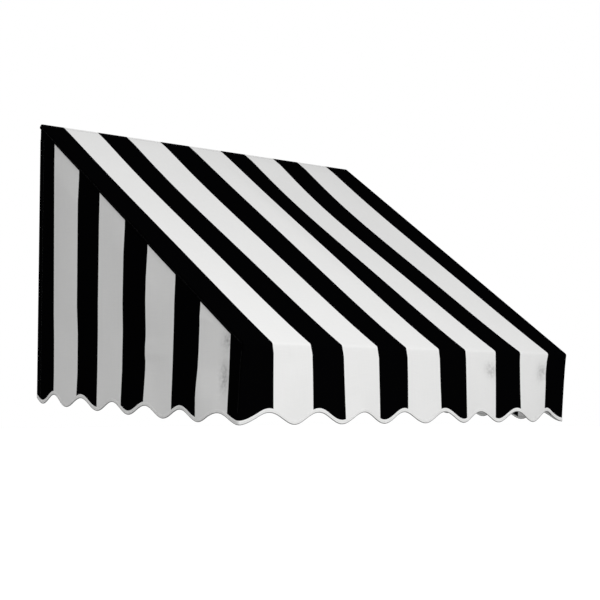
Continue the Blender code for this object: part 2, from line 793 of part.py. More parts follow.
def bulge(run, height):
    """How far a wing stands out from its plane, between the bars that hold it."""
    y = run - PROJECTION
    below_rake = rake_height(y) - height - 2 * LAP
    above_arm = height - FRONT.z - ARM_MARGIN
    below_arm = FRONT.z - ARM_MARGIN - height
    inside = min(below_rake, above_arm, run - SIDE_MARGIN, -y - SIDE_MARGIN)
    hang = min(below_arm, run - SIDE_MARGIN, -y - SIDE_MARGIN)
    wave = BULGE_MEAN - BULGE_SWING * math.cos(math.pi * run / PITCH)
    return WING_BULGE * wave * min(1.0, max(0.0, inside, hang) / (PITCH / 2))


def wing_point(run, fall, level):
    """A point on the middle surface of the right wing, given from its front and its top."""
    y = run - PROJECTION
    bottom = wing_edge_height(run)
    top = rake_height(y) - 2 * LAP
    height = top + (bottom + TAPE_HEIGHT - top) * fall - level
    return Vector((WING_X + bulge(run, height), y, height))


def add_wing(side, sign):
    """A side wing, turned in behind its upright at the wall."""
    places = wing_places()
    turns = [HEM_TURN * number / HEM_STEPS for number in range(1, HEM_STEPS + 1)]
    levels = [-2 * LAP, 0.0, 0.0, 0.0, 0.0, 0.0, TAPE_HEIGHT]
    stripes = wing_stripes()
    hem_top = HEAD.z - RADIUS - 2 * LAP

    def place(i, j):
        level = levels[j]
        if i < len(places):
            point = wing_point(places[i], WING_FALLS[j], level)
        else:
            angle = math.radians(turns[i - len(places)])
            low = wing_edge_height(places[-1]) + TAPE_HEIGHT
            height = hem_top + (low - hem_top) * WING_FALLS[j] - level
            x = SIDE_X + COVER_RADIUS * math.cos(angle)
            point = Vector((x, HEAD.y + COVER_RADIUS * math.sin(angle), height))
        return Vector((sign * point.x, point.y, point.z))

    def white(i):
        if i >= len(places) - 1:
            return False
        return is_white(stripes, PROJECTION - (places[i] + places[i + 1]) / 2)

    count = len(places) + len(turns)
    rows = len(WING_FALLS)
    add_sheet(side + "_wing", count, rows, place, lambda i, j: True, white, lambda j: False)


def tape_stations():
    """Cross-sections of the edge tape, from the rear of the left wing to that of the right."""
    single = CANVAS / 2 + GAP + TAPE / 2
    double = single + CANVAS + GAP
    clear = LAP + TAPE_HEIGHT / 2
    side = []
    for run in reversed([clear] + [place for place in wing_places() if place > clear]):
        side.append(Station(wing_point(run, 1.0, TAPE_HEIGHT), wing_point(run, 1.0, 0.0),
                            ALONG_X, single, single))
    corner = []
    front = []
    for column in panel_columns():
        low = valance_point(column, TAPE_HEIGHT, 1.0)
        high = valance_point(column, 0.0, 1.0)
        if column.depth == 0:
            front.append(Station(low, high, -ALONG_Y, single, single))
        elif column.x > 0:
            share = max(0.0, 1 - column.depth / EDGE_BEND)
            outward = Vector((math.sqrt(1 - share * share), -share, 0.0))
            inner = double if share < 0.1 else single
            corner.append(Station(low, high, outward, single, inner))
    lap_end = corner[-1]
    nudge = ALONG_Y * (TAPE_HEIGHT / 4)
    corner[-1] = Station(lap_end.low + nudge, lap_end.high + nudge, ALONG_X, single, double)
    right = corner + side[::-1]
    left = [Station(*(flip(part) for part in station)) for station in reversed(right)]
    return left + front + right


def flip(part):
    """Mirror a vector in the YZ plane and leave a number alone."""
    return Vector((-part.x, part.y, part.z)) if isinstance(part, Vector) else part


def add_binding():
    """White tape folded over the whole scalloped edge, wings and valance."""
    stations = tape_stations()
    bm = bmesh.new()
    bmesh.ops.create_grid(bm, x_segments=len(stations) - 1, y_segments=3, size=0.5)
    below = ALONG_Z * (GAP + TAPE / 2)
    for vert in bm.verts:
        station = stations[round((vert.co.x + 0.5) * (len(stations) - 1))]
        fold = (
            station.high + station.outward * station.outer,
            station.low + station.outward * station.outer - below,
            station.low - station.outward * station.inner - below,
            station.high - station.outward * station.inner,
        )
        vert.co = fold[round((vert.co.y + 0.5) * 3)]
    tape = add_part("edge_tape", finish_mesh(bm, "edge_tape"), "white_tape")
    thicken(tape, TAPE, 0.0)


clear_scene()
PARTS = make_collection("striped_window_awning")
CUTTERS = make_collection("cutters")

frame_tubes = add_frame()
add_head_brackets()
for side_name, side_sign in SIDES:
    add_foot(side_name, side_sign, frame_tubes[side_name + "_upright"])
add_ties()
add_top_panel()
for side_name, side_sign in SIDES:
    add_wing(side_name, side_sign)
add_binding()
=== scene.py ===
# %% [markdown]
# # A striped window awning
#
# A ready-made window awning is a sewn canvas cover drawn over a light frame of steel tube.
# The CAD model already holds every piece at its real size, so this lesson dresses that
# model: it hides the plain solids one by one and puts finely made pieces in their places.
# Loading the frame first gives us the sizes that all the pieces are worked out from.

# %% Load the frame
import math

import bpy
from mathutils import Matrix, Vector


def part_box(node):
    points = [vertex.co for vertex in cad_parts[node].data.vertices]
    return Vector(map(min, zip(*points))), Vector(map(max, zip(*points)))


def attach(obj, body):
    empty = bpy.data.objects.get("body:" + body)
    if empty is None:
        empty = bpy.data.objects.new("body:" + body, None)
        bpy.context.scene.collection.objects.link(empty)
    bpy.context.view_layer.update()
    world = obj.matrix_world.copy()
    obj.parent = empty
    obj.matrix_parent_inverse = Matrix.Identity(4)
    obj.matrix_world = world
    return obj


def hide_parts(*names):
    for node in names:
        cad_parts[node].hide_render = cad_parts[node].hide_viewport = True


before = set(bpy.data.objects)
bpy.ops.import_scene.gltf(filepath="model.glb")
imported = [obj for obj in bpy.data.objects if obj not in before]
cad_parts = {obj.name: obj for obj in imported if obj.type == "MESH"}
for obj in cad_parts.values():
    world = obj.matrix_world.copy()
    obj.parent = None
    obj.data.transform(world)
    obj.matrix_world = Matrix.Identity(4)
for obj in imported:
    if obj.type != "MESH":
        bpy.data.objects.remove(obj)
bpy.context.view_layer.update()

# %% [markdown]
# ## The camera
#
# The camera comes first, because every later look at the scene depends on it. A fitted
# camera could be placed by eye, but this one was worked out from the corners of the
# awning, so its place, its turn about the vertical and its lift are plain numbers.

# %% Place the camera
CAMERA_PLACE = (-2.9535, -3.8867, -0.842)
CAMERA_TURN = 41.12
CAMERA_LIFT = 4.23
CAMERA_LENS = 85.03

bpy.ops.object.camera_add(
    location=CAMERA_PLACE,
    rotation=(math.radians(90 + CAMERA_LIFT), 0.0, math.radians(-CAMERA_TURN)),
)
camera = bpy.context.object
camera.data.lens = CAMERA_LENS
bpy.context.scene.camera = camera
print("The camera's lens is", camera.data.lens, "mm")

# %% [markdown]
# ## Daylight without a place
#
# Canvas is judged by its tone, so the light has to be plain. An even sky fills the
# shadows, and one large softbox in front, a little to the left, lifts the slope and the
# valance above the wings. Because it stands near, the cloth grows darker toward the far
# corner. The sky is dimmer for the light it gives than for what the camera sees of it, and
# the Light Path node keeps those two apart, so the background is white and the cloth
# isn't washed out.

# %% Light the scene
SKY_STRENGTH = 0.435
SOFTBOX_PLACE = Vector((-1.3, -3.9, 1.7))
SOFTBOX_AIM = Vector((0.0, -0.8, -0.5))
SOFTBOX_POWER = 108.0
SOFTBOX_SIZE = 2.2

world = bpy.data.worlds.new("studio_sky")
world.use_nodes = True
bpy.context.scene.world = world


def seen_directly(tree):
    """1 for rays from the camera and for mirror or see-through rays, otherwise 0."""
    path = tree.nodes.new("ShaderNodeLightPath")
    total = path.outputs["Is Camera Ray"]
    for name in ("Is Glossy Ray", "Is Transmission Ray"):
        highest = tree.nodes.new("ShaderNodeMath")
        highest.operation = "MAXIMUM"
        tree.links.new(total, highest.inputs[0])
        tree.links.new(path.outputs[name], highest.inputs[1])
        total = highest.outputs[0]
    return total


sky = world.node_tree.nodes["Background"]
sky.inputs["Color"].default_value = (1.0, 1.0, 1.0, 1.0)
strength = world.node_tree.nodes.new("ShaderNodeMapRange")
strength.inputs["To Min"].default_value = SKY_STRENGTH
strength.inputs["To Max"].default_value = 1.0
world.node_tree.links.new(seen_directly(world.node_tree), strength.inputs["Value"])
world.node_tree.links.new(strength.outputs["Result"], sky.inputs["Strength"])

bpy.ops.object.light_add(type="AREA", location=SOFTBOX_PLACE)
softbox = bpy.context.object
softbox.name = "softbox"
softbox.data.energy = SOFTBOX_POWER
softbox.data.shape = "DISK"
softbox.data.size = SOFTBOX_SIZE
softbox.rotation_euler = (SOFTBOX_PLACE - SOFTBOX_AIM).to_track_quat("Z", "Y").to_euler()
bpy.context.scene.view_settings.view_transform = "Standard"
print("Sky", SKY_STRENGTH, "and softbox", SOFTBOX_POWER, "W")

# %% [markdown]
# ## A pale floor
#
# The floor lies far below, as the ground does under a window, and is one large plane. A
# white one would throw light up onto the canvas. This one is painted pale grey and glows
# only for rays from the camera, so it looks as white as the sky and still takes a shadow.

# %% Lay the floor
FLOOR_HEIGHT = -2.1
FLOOR_SIZE = 120.0
FLOOR_GLOW = 0.90
FLOOR_PAINT = (0.86, 0.86, 0.86, 1.0)

bpy.ops.mesh.primitive_plane_add(size=FLOOR_SIZE, location=(0.0, 0.0, FLOOR_HEIGHT))
floor = bpy.context.object
floor.name = "floor"
floor_paint = bpy.data.materials.new("pale_floor")
floor_paint.use_nodes = True
floor_shader = floor_paint.node_tree.nodes["Principled BSDF"]
floor_shader.inputs["Base Color"].default_value = FLOOR_PAINT
floor_shader.inputs["Roughness"].default_value = 0.9
floor_shader.inputs["Emission Color"].default_value = (1.0, 1.0, 1.0, 1.0)
glow = floor_paint.node_tree.nodes.new("ShaderNodeMath")
glow.operation = "MULTIPLY"
glow.inputs[1].default_value = FLOOR_GLOW
floor_paint.node_tree.links.new(seen_directly(floor_paint.node_tree), glow.inputs[0])
floor_paint.node_tree.links.new(glow.outputs[0], floor_shader.inputs["Emission Strength"])
floor.data.materials.append(floor_paint)

# %% [markdown]
# ## Sizes taken from the frame
#
# The tubes carry the cloth, so their middle lines are the skeleton of every shape here.
# The box of a straight tube has its axis in the middle, and four of those boxes give the
# head bar, the front bar and the uprights. The rest are the cloth's own sizes, such as
# its thickness and the gap that is left wherever one piece lies on another.

# %% Measure the frame
CANVAS = 0.0008
CLEAR = 0.0003
TUBE_RADIUS = 0.0095
TUBE_WALL = 0.0015
SHOULDER = 0.036
SPIGOT = 0.026
COVER_RADIUS = TUBE_RADIUS + CLEAR + CANVAS / 2


def middle_of(node):
    """The middle of a CAD node's box."""
    low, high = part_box(node)
    return (low + high) / 2


half_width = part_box("top_panel")[1].x
side_axis = middle_of("right_upright").x
HEAD = Vector((0.0, *middle_of("right_head_bar").yz))
FRONT = Vector((0.0, *middle_of("right_front_bar").yz))
slope_length = (FRONT - HEAD).length
down_slope = (FRONT - HEAD).normalized()
slope_normal = Vector((0.0, down_slope.z, -down_slope.y))
slope_degrees = math.degrees(math.atan2(slope_normal.z, slope_normal.y))
projection = COVER_RADIUS + CANVAS / 2 - FRONT.y
print("Half width", round(half_width, 4), "and projection", round(projection, 4))
print("The slope is", round(slope_length, 4), "m long at", round(slope_degrees, 1), "degrees")

# %% [markdown]
# ## Starting and finishing a piece
#
# An operator acts on all that is selected, and the CAD nodes start out selected, so each
# piece begins with an empty selection. A finished piece keeps its place in its mesh and
# its object at the origin. Then it rides on the frame, and the CAD nodes it stands for are
# hidden. What these steps have in common is written once, here.


def clear_selection():
    """Leave edit mode and select nothing."""
    if bpy.context.object and bpy.context.object.mode != "OBJECT":
        bpy.ops.object.mode_set(mode="OBJECT")
    bpy.ops.object.select_all(action="DESELECT")


def pick(piece):
    """Make one object the only selected one."""
    clear_selection()
    piece.select_set(True)
    bpy.context.view_layer.objects.active = piece


def apply_modifier(piece, kind, **settings):
    """Add a modifier with some settings and apply it."""
    pick(piece)
    modifier = piece.modifiers.new(kind.lower(), kind)
    for name, value in settings.items():
        setattr(modifier, name, value)
    bpy.ops.object.modifier_apply(modifier=modifier.name)


def apply_place(piece):
    """Move a piece's place, turn and scale into its mesh."""
    pick(piece)
    bpy.ops.object.transform_apply(location=True, rotation=True, scale=True)


def face_outward(piece):
    """Turn the faces of a closed piece outward."""
    pick(piece)
    bpy.ops.object.mode_set(mode="EDIT")
    bpy.ops.mesh.select_all(action="SELECT")
    bpy.ops.mesh.normals_make_consistent(inside=False)
    bpy.ops.object.mode_set(mode="OBJECT")


def smooth_below(degrees):
    """Shade the picked piece smooth, except over edges sharper than an angle."""
    bpy.ops.object.shade_smooth_by_angle(angle=math.radians(degrees))


def finish_piece(piece, name, material, slot, *nodes):
    """Name a piece, give it a material and let it stand for its CAD nodes."""
    apply_place(piece)
    piece.name = name
    piece.data.name = name
    piece.data.materials.clear()
    piece.data.materials.append(material)
    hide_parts(*nodes)
    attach(piece, "root")
    return piece


print("Pieces to replace:", len(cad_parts))

# %% [markdown]
# ## Building a material from nodes
#
# Every finish here is procedural: its pattern is worked out from the piece's own
# coordinates. A short helper that adds a node, sets its inputs and links what is given as
# a socket keeps each recipe readable from top to bottom.

# %% Node helpers
def add_node(tree, kind, settings=None, **inputs):
    """Add a node; an input that is given as a socket is linked, and others are set."""
    node = tree.nodes.new(kind)
    for name, value in (settings or {}).items():
        setattr(node, name, value)
    for name, value in inputs.items():
        socket = node.inputs[name.replace("_", " ")]
        if isinstance(value, bpy.types.NodeSocket):
            tree.links.new(value, socket)
        else:
            socket.default_value = value
    return node


def calculate(tree, operation, *values):
    """One step of arithmetic on sockets or numbers."""
    node = tree.nodes.new("ShaderNodeMath")
    node.operation = operation
    for socket, value in zip(node.inputs, values):
        if isinstance(value, bpy.types.NodeSocket):
            tree.links.new(value, socket)
        else:
            socket.default_value = value
    return node.outputs[0]


def rescale(tree, value, low, high, new_low, new_high):
    """Map one range of numbers to another."""
    node = add_node(
        tree,
        "ShaderNodeMapRange",
        Value=value,
        From_Min=low,
        From_Max=high,
        To_Min=new_low,
        To_Max=new_high,
    )
    return node.outputs["Result"]


def blend_colours(tree, factor, first, second, mode="MIX"):
    """Mix two colours by a factor."""
    node = tree.nodes.new("ShaderNodeMix")
    node.data_type = "RGBA"
    node.blend_type = mode
    for number, value in ((0, factor), (6, first), (7, second)):
        socket = node.inputs[number]
        if isinstance(value, bpy.types.NodeSocket):
            tree.links.new(value, socket)
        else:
            socket.default_value = value
    return node.outputs[2]


def noise(tree, vector, scale, detail=2.0, roughness=0.5):
    """Soft random values between 0 and 1."""
    node = add_node(
        tree, "ShaderNodeTexNoise", Vector=vector, Scale=scale, Detail=detail, Roughness=roughness
    )
    return node.outputs["Fac"]


def spread_noise(tree, value, low, high):
    """Noise mostly stays between 0.3 and 0.7, so that range is spread over a new one."""
    return rescale(tree, value, 0.3, 0.7, low, high)


def stretched(tree, vector, scale):
    """Coordinates that are scaled by a different amount each way."""
    return add_node(tree, "ShaderNodeMapping", Vector=vector, Scale=scale).outputs["Vector"]


def grey_of(tree, tone):
    """A grey colour of a given tone."""
    return add_node(tree, "ShaderNodeCombineColor", Red=tone, Green=tone, Blue=tone).outputs["Color"]


def cloth_place(tree):
    """The place on the flat cloth, as a vector and as its two parts in metres."""
    flat = add_node(tree, "ShaderNodeUVMap", {"uv_map": "grain"}).outputs["UV"]
    split = add_node(tree, "ShaderNodeSeparateXYZ", Vector=flat)
    return flat, split.outputs["X"], split.outputs["Y"]


def wave_along(tree, place, length):
    """A sine wave of a given length along a coordinate."""
    return calculate(tree, "SINE", calculate(tree, "MULTIPLY", place, math.tau / length))


def start_material(name, roughness, metallic=0.0, specular=0.5):
    """A material with its Principled shader's plain numbers set."""
    material = bpy.data.materials.new(name)
    material.use_nodes = True
    shader = material.node_tree.nodes["Principled BSDF"]
    shader.inputs["Roughness"].default_value = roughness
    shader.inputs["Metallic"].default_value = metallic
    shader.inputs["Specular IOR Level"].default_value = specular
    return material, material.node_tree, shader


def link_bump(tree, shader, height, strength, distance):
    """Let a height push the surface about without moving it."""
    bump = add_node(tree, "ShaderNodeBump", Height=height, Strength=strength, Distance=distance)
    tree.links.new(bump.outputs["Normal"], shader.inputs["Normal"])


print("The floor's material has", len(floor_paint.node_tree.nodes), "nodes")

# %% [markdown]
# ## Striped awning canvas
#
# Awning canvas is a plain weave of dyed yarn, so its stripes are the same on both sides
# and run with the grain, over every fold. An image could hold them, but a formula is
# sharper. Each sheet carries a UV map in metres on the flat cloth, with u measured across
# the stripes from the middle of a white one. Folding u back and forth over half a repeat
# gives the distance to the nearest white stripe's middle, and comparing that with half a
# stripe gives the stripes. The weave, the uneven yarns and a painted shade in a few dents use the
# same coordinates. The black yarn is dyed through and dull, so its highlight is kept low.

# %% Canvas material
WHITE_STRIPE = 0.134
BLACK_STRIPE = 0.115
REPEAT = WHITE_STRIPE + BLACK_STRIPE
THREAD = 0.0009
EDGE_BLUR = 0.00025
EDGE_WANDER = 0.0006
YARN_STRETCH = (1300.0, 16.0)
WHITE_YARN = (0.800, 0.800, 0.795, 1.0)
BLACK_YARN = (0.0010, 0.0010, 0.0012, 1.0)
# Tone of the painted shade in the dents of the valance and the left wing
DENT_SHADE_TONE = (0.36, 0.36, 0.36, 1.0)


def weave_height(tree, across, along, pitch):
    """The hills and hollows of a plain weave."""
    warp, weft = wave_along(tree, across, 2 * pitch), wave_along(tree, along, 2 * pitch)
    return calculate(tree, "MULTIPLY", warp, weft)


def canvas_material():
    """Black and white striped canvas, with painted shade in a few dents."""
    material, tree, shader = start_material("striped_canvas", 0.92, specular=0.0)
    flat, across, along = cloth_place(tree)
    wander = rescale(tree, noise(tree, flat, 700.0), 0.0, 1.0, -EDGE_WANDER, EDGE_WANDER)
    place = calculate(tree, "PINGPONG", calculate(tree, "ADD", across, wander), REPEAT / 2)
    edge = WHITE_STRIPE / 2
    white = rescale(tree, place, edge - EDGE_BLUR, edge + EDGE_BLUR, 1.0, 0.0)
    warp_yarn = noise(tree, stretched(tree, flat, (*YARN_STRETCH, 1.0)), 1.0)
    weft_yarn = noise(tree, stretched(tree, flat, (*YARN_STRETCH[::-1], 1.0)), 1.0)
    yarns = calculate(tree, "ADD", warp_yarn, weft_yarn)
    cloudy = noise(tree, flat, 5.0, detail=4.0)
    yarn_tone = rescale(tree, yarns, 0.6, 1.4, 0.965, 1.03)
    cloud_tone = rescale(tree, cloudy, 0.2, 0.8, 0.985, 1.012)
    tone = calculate(tree, "MULTIPLY", yarn_tone, cloud_tone)
    yarn_colour = blend_colours(tree, 1.0, WHITE_YARN, grey_of(tree, tone), "MULTIPLY")
    # Painted shade: the cloth turns grey in noisy patches where the dents lie
    dent_shade = add_node(tree, "ShaderNodeAttribute", {"attribute_name": "dent_shade"}).outputs["Fac"]
    shade_patches = spread_noise(tree, noise(tree, flat, 90.0, 4.0), 0.2, 1.0)
    dent_shaded = blend_colours(tree, calculate(tree, "MULTIPLY", dent_shade, shade_patches), yarn_colour, DENT_SHADE_TONE)
    tree.links.new(blend_colours(tree, white, BLACK_YARN, dent_shaded), shader.inputs["Base Color"])
    height = calculate(tree, "ADD", weave_height(tree, across, along, THREAD), yarns)
    link_bump(tree, shader, height, 0.30, 0.00012)
    return material


canvas = canvas_material()
print("Stripes repeat every", round(REPEAT * 1000), "mm, with a thread every", THREAD * 1000, "mm")

# %% [markdown]
# ## Laying out a sheet of canvas
#
# A sewn cover is made of flat cuts that bend only one way at a time. A grid primitive is
# a good stand-in for a flat cut: each of its points is one place on the cloth, and a
# function says where that place hangs. The same points give the UV map, so the stripes
# and the weave follow every fold. Simulation would also sag the cloth, but a sheet that is
# drawn tight over bars hardly moves, and a formula keeps its hems straight.

# %% Sheet helper
def lay_sheet(name, across, along, place, grain, keep=lambda i, j: True, dent_shade_at=lambda i, j: 0.0):
    """A sheet from a grid of across by along places, as an open mesh."""
    clear_selection()
    bpy.ops.mesh.primitive_grid_add(x_subdivisions=across - 1, y_subdivisions=along - 1, size=1.0)
    sheet = bpy.context.object
    sheet.name = name
    mesh = sheet.data
    cells = {}
    for vertex in mesh.vertices:
        i = round((vertex.co.x + 0.5) * (across - 1))
        j = round((vertex.co.y + 0.5) * (along - 1))
        cells[vertex.index] = (i, j)
        vertex.co = place(i, j)
    # A value at each point that the canvas material turns into painted shade in its dents
    dent_shade = mesh.attributes.new("dent_shade", "FLOAT", "POINT")
    for index, cell in cells.items():
        dent_shade.data[index].value = dent_shade_at(*cell)
    while mesh.uv_layers:
        mesh.uv_layers.remove(mesh.uv_layers[0])
    uv = mesh.uv_layers.new(name="grain")
    flat = [grain(*cells[vertex.index]) for vertex in mesh.vertices]
    for loop in mesh.loops:
        uv.data[loop.index].uv = flat[loop.vertex_index]
    bpy.ops.object.mode_set(mode="EDIT")
    bpy.ops.mesh.select_mode(type="FACE")
    bpy.ops.mesh.select_all(action="DESELECT")
    bpy.ops.object.mode_set(mode="OBJECT")
    for face in mesh.polygons:
        corner = [cells[index] for index in face.vertices]
        face.select = not keep(min(c[0] for c in corner), min(c[1] for c in corner))
    bpy.ops.object.mode_set(mode="EDIT")
    bpy.ops.mesh.delete(type="FACE")
    bpy.ops.mesh.select_all(action="SELECT")
    bpy.ops.mesh.remove_doubles(threshold=0.00001)
    bpy.ops.object.mode_set(mode="OBJECT")
    return sheet


print("A sheet of canvas is", CANVAS * 1000, "mm thick")

# %% [markdown]
# ## From a sheet to cloth
#
# The flat size of a cut is worth knowing before it is sewn, and the UV map holds it in
# metres, so its area can be added up face by face. Solidify then gives the sheet its
# thickness to both sides and closes its edges.

# %% Area and thickness
CLOTH_SMOOTH = 50


def flat_area(sheet):
    """Area of the cut before it was sewn, from its UV map in metres."""
    uv = sheet.data.uv_layers["grain"].data
    total = 0.0
    for face in sheet.data.polygons:
        points = [uv[index].uv for index in face.loop_indices]
        turned = points[1:] + points[:1]
        total += abs(sum(a.x * b.y - a.y * b.x for a, b in zip(points, turned))) / 2
    return total


def finish_cloth(sheet, thickness):
    """Give a sheet its thickness and smooth shading."""
    apply_modifier(sheet, "SOLIDIFY", thickness=thickness, offset=0.0)
    face_outward(sheet)
    smooth_below(CLOTH_SMOOTH)


print("A hem is shaded sharp above", CLOTH_SMOOTH, "degrees")

# %% [markdown]
# ## Where the cover hangs
#
# The cover is one cloth. It starts as a flap that is sewn under the slope, runs round the
# head bar as a pocket, comes down the slope, folds over the front bar and hangs as the
# valance. Its two long sides bend down as narrow laps over the wings. A row is one line
# of cloth from side to side, and a column is one line from wall to valance, so a place on
# the cover is a row and a column. The columns come first: they are closer together where
# the cloth bends, and one stands at each end of the pocket's openings.

# %% Cover columns
LAP = 0.0145
EDGE_BEND = 0.005
SCALLOPS = 8
PITCH = 2 * half_width / SCALLOPS
COLUMN_STEP = 0.0070
BEND_STEPS = 6
LAP_STEPS = 3
BRACKET_CLEAR = 0.010
lap_x = half_width - CANVAS / 2
flat_half = lap_x - EDGE_BEND


def spaced(start, end, step):
    """Even places from start up to but not including end."""
    count = max(1, round((end - start) / step))
    return [start + (end - start) * number / count for number in range(count)]


def bare_stretches():
    """Stretches of the head bar that the pocket leaves open for the brackets."""
    found = [(-lap_x, -side_axis + SHOULDER + SPIGOT + BRACKET_CLEAR)]
    for node in ("left_bracket", "centre_bracket", "right_bracket"):
        low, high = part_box(node)
        found.append((low.x - BRACKET_CLEAR, high.x + BRACKET_CLEAR))
    found.append((side_axis - SHOULDER - SPIGOT - BRACKET_CLEAR, lap_x))
    return found


OPEN_STRETCHES = bare_stretches()


def cover_columns():
    """Columns as (x, depth of the lap, u on the flat cloth), from left to right."""
    stops = sorted(x for pair in OPEN_STRETCHES for x in pair if abs(x) < flat_half)
    stops = [-flat_half] + stops + [flat_half]
    flat = []
    for start, end in zip(stops, stops[1:]):
        flat += [(x, 0.0, x) for x in spaced(start, end, COLUMN_STEP)]
    side = [(flat_half, 0.0, flat_half)]
    for number in range(1, BEND_STEPS + 1):
        turn = math.pi / 2 * number / BEND_STEPS
        x = flat_half + EDGE_BEND * math.sin(turn)
        side.append((x, EDGE_BEND * (1 - math.cos(turn)), flat_half + EDGE_BEND * turn))
    for number in range(1, LAP_STEPS + 1):
        more = (LAP - EDGE_BEND) * number / LAP_STEPS
        side.append((lap_x, EDGE_BEND + more, side[BEND_STEPS][2] + more))
    left = [(-x, depth, -u) for x, depth, u in reversed(side)]
    return left[:-1] + flat + side


columns = cover_columns()
print(len(columns), "columns, flat width", round(2 * columns[-1][2], 4), "m")

# %% [markdown]
# ## Rows of the cover
#
# Seen from the side, the cloth follows straight lines and arcs: along the flap, round the
# head bar, down the slope and over the front bar. The points could be typed in, but a rule
# for each zone keeps them on the tubes and measures the flat cloth on the way. The
# valance's rows all start at the fold, and their fall is worked out later.

# %% Cover rows
VALANCE_DROP = 0.208
TAPE_HEIGHT = 0.011
POCKET_LEAVE = -120.0
BARE_FROM = 80.0
FLAP = 0.018
FLAP_SHARES = (1.0, 0.67, 0.33, 0.0)
ARC_STEP = 10.0
ROW_STEP = 0.0110
VALANCE_STEPS = 26


def around(axis, degrees):
    """A point of the cover round a bar that runs along X, and the way it faces."""
    turn = math.radians(degrees)
    facing = Vector((0.0, math.cos(turn), math.sin(turn)))
    return axis + facing * COVER_RADIUS, facing


def cover_rows():
    """Rows as (point, facing, zone, run within the zone, v on the flat cloth)."""
    leave, facing = around(HEAD, POCKET_LEAVE)
    way = Vector((0.0, facing.z, -facing.y))
    under = COVER_RADIUS - CANVAS - CLEAR
    climb = (under - (leave - HEAD).dot(slope_normal)) / way.dot(slope_normal)
    turn = leave + way * climb
    rows = []
    for share in FLAP_SHARES:
        rows.append((turn + down_slope * FLAP * share, slope_normal, "pocket", 0.0, FLAP * (1 - share)))
    along = FLAP
    for share in FLAP_SHARES[2:0:-1]:
        point, way_out = turn.lerp(leave, share), slope_normal.lerp(facing, share)
        rows.append((point, way_out, "pocket", 0.0, along + climb * share))
    along += climb
    for degrees in spaced(POCKET_LEAVE, slope_degrees, ARC_STEP):
        zone = "pocket" if degrees < BARE_FROM else "back"
        bend = COVER_RADIUS * math.radians(degrees - POCKET_LEAVE)
        rows.append((*around(HEAD, degrees), zone, 0.0, along + bend))
    along += COVER_RADIUS * math.radians(slope_degrees - POCKET_LEAVE)
    top = HEAD + slope_normal * COVER_RADIUS
    for run in spaced(0.0, slope_length, ROW_STEP):
        rows.append((top + down_slope * run, slope_normal, "slope", run, along + run))
    along += slope_length
    for degrees in spaced(slope_degrees, 180.0, ARC_STEP) + [180.0]:
        bend = COVER_RADIUS * math.radians(degrees - slope_degrees)
        rows.append((*around(FRONT, degrees), "fold", 0.0, along + bend))
    along += COVER_RADIUS * math.radians(180.0 - slope_degrees)
    for number in range(1, VALANCE_STEPS + 1):
        fall = number / VALANCE_STEPS
        rows.append((rows[-1][0], rows[-1][1], "valance", fall, along + VALANCE_DROP * fall))
    return rows


rows = cover_rows()
print(len(rows), "rows, flat length", round(rows[-1][4], 4), "m")

# %% [markdown]
# ## The sag of the slope
#
# A few small amounts make the difference between a folded plate and cloth. The first is
# the sag of the two bays between the rafters. It is a smooth hump that dies away before
# the tubes, so the cloth still lies on its frame, and it is deepest nearer the head.

# %% Sag of the bays
SAG = {-1: 0.0118, 1: 0.0185}
SAG_PEAK = 0.6
FLAT_AT_HEAD = 0.045
FLAT_AT_FRONT = 0.056


def clamp(value):
    """A value kept between 0 and 1."""
    return min(1.0, max(0.0, value))


def hump(first, second):
    """A smooth hump of height 1 at the origin."""
    return math.exp(-first * first - second * second)


def bay_share(x):
    """1 in the middle of the bay between two rafters, and 0 over the rafters."""
    bay = clamp((abs(x) - TUBE_RADIUS) / (side_axis - 2 * TUBE_RADIUS))
    return 4 * bay * (1 - bay)


def sag(x, run):
    """How far the cover hangs below the tops of the rafters, most of all nearer the head."""
    along = clamp((run - FLAT_AT_HEAD) / (slope_length - FLAT_AT_HEAD - FLAT_AT_FRONT))
    depth = SAG[-1 if x < 0 else 1]
    return depth * bay_share(x) * math.sin(math.pi * along ** SAG_PEAK) ** 2


print("The bays sag by", [round(depth * 1000, 1) for depth in SAG.values()], "mm")

# %% [markdown]
# ## The scalloped edge
#
# The lower edge is a row of equal scallops. A cosine draws one for each pitch, counted
# from the front corner, so both sides of a corner meet at the same height. Along a wing
# the edge rises toward the wall, and its scallops are a little shallower at the front.

# %% Scalloped edge
SCALLOP_DEPTH = 0.032
WING_RISE = 0.060
RISE_POWER = 1.3
FRONT_SHALLOW = 0.14
SHALLOW_REACH = 0.45
SCALLOP_SHIFT = 0.030
SHIFT_FADE = 0.150
edge_low = FRONT.z - VALANCE_DROP


def scallop_height(run):
    """Height of the valance's scalloped edge at a distance from the front corner."""
    return edge_low + SCALLOP_DEPTH * (1 - math.cos(math.tau * run / PITCH)) / 2


def wing_scallop_height(run):
    """Height of a wing's scalloped edge, whose scallops lie a little nearer the wall."""
    rear = projection + HEAD.y
    shift = SCALLOP_SHIFT * min(1.0, run / SHIFT_FADE, (rear - run) / SHIFT_FADE)
    shallow = 1 - FRONT_SHALLOW * math.exp(-((run / SHALLOW_REACH) ** 2))
    wave = (scallop_height(run - shift) - edge_low) * shallow
    return edge_low + wave + WING_RISE * (run / projection) ** RISE_POWER


print("Scallops are", round(PITCH * 1000), "mm apart")

# %% [markdown]
# ## The hang of the valance
#
# Below the front bar the cloth is free. It waves gently, leans over to one side, is drawn
# toward the wall at its corners and has a few soft dents where it was handled. Each of
# these moves its points by a few millimetres and dies away at the bar.

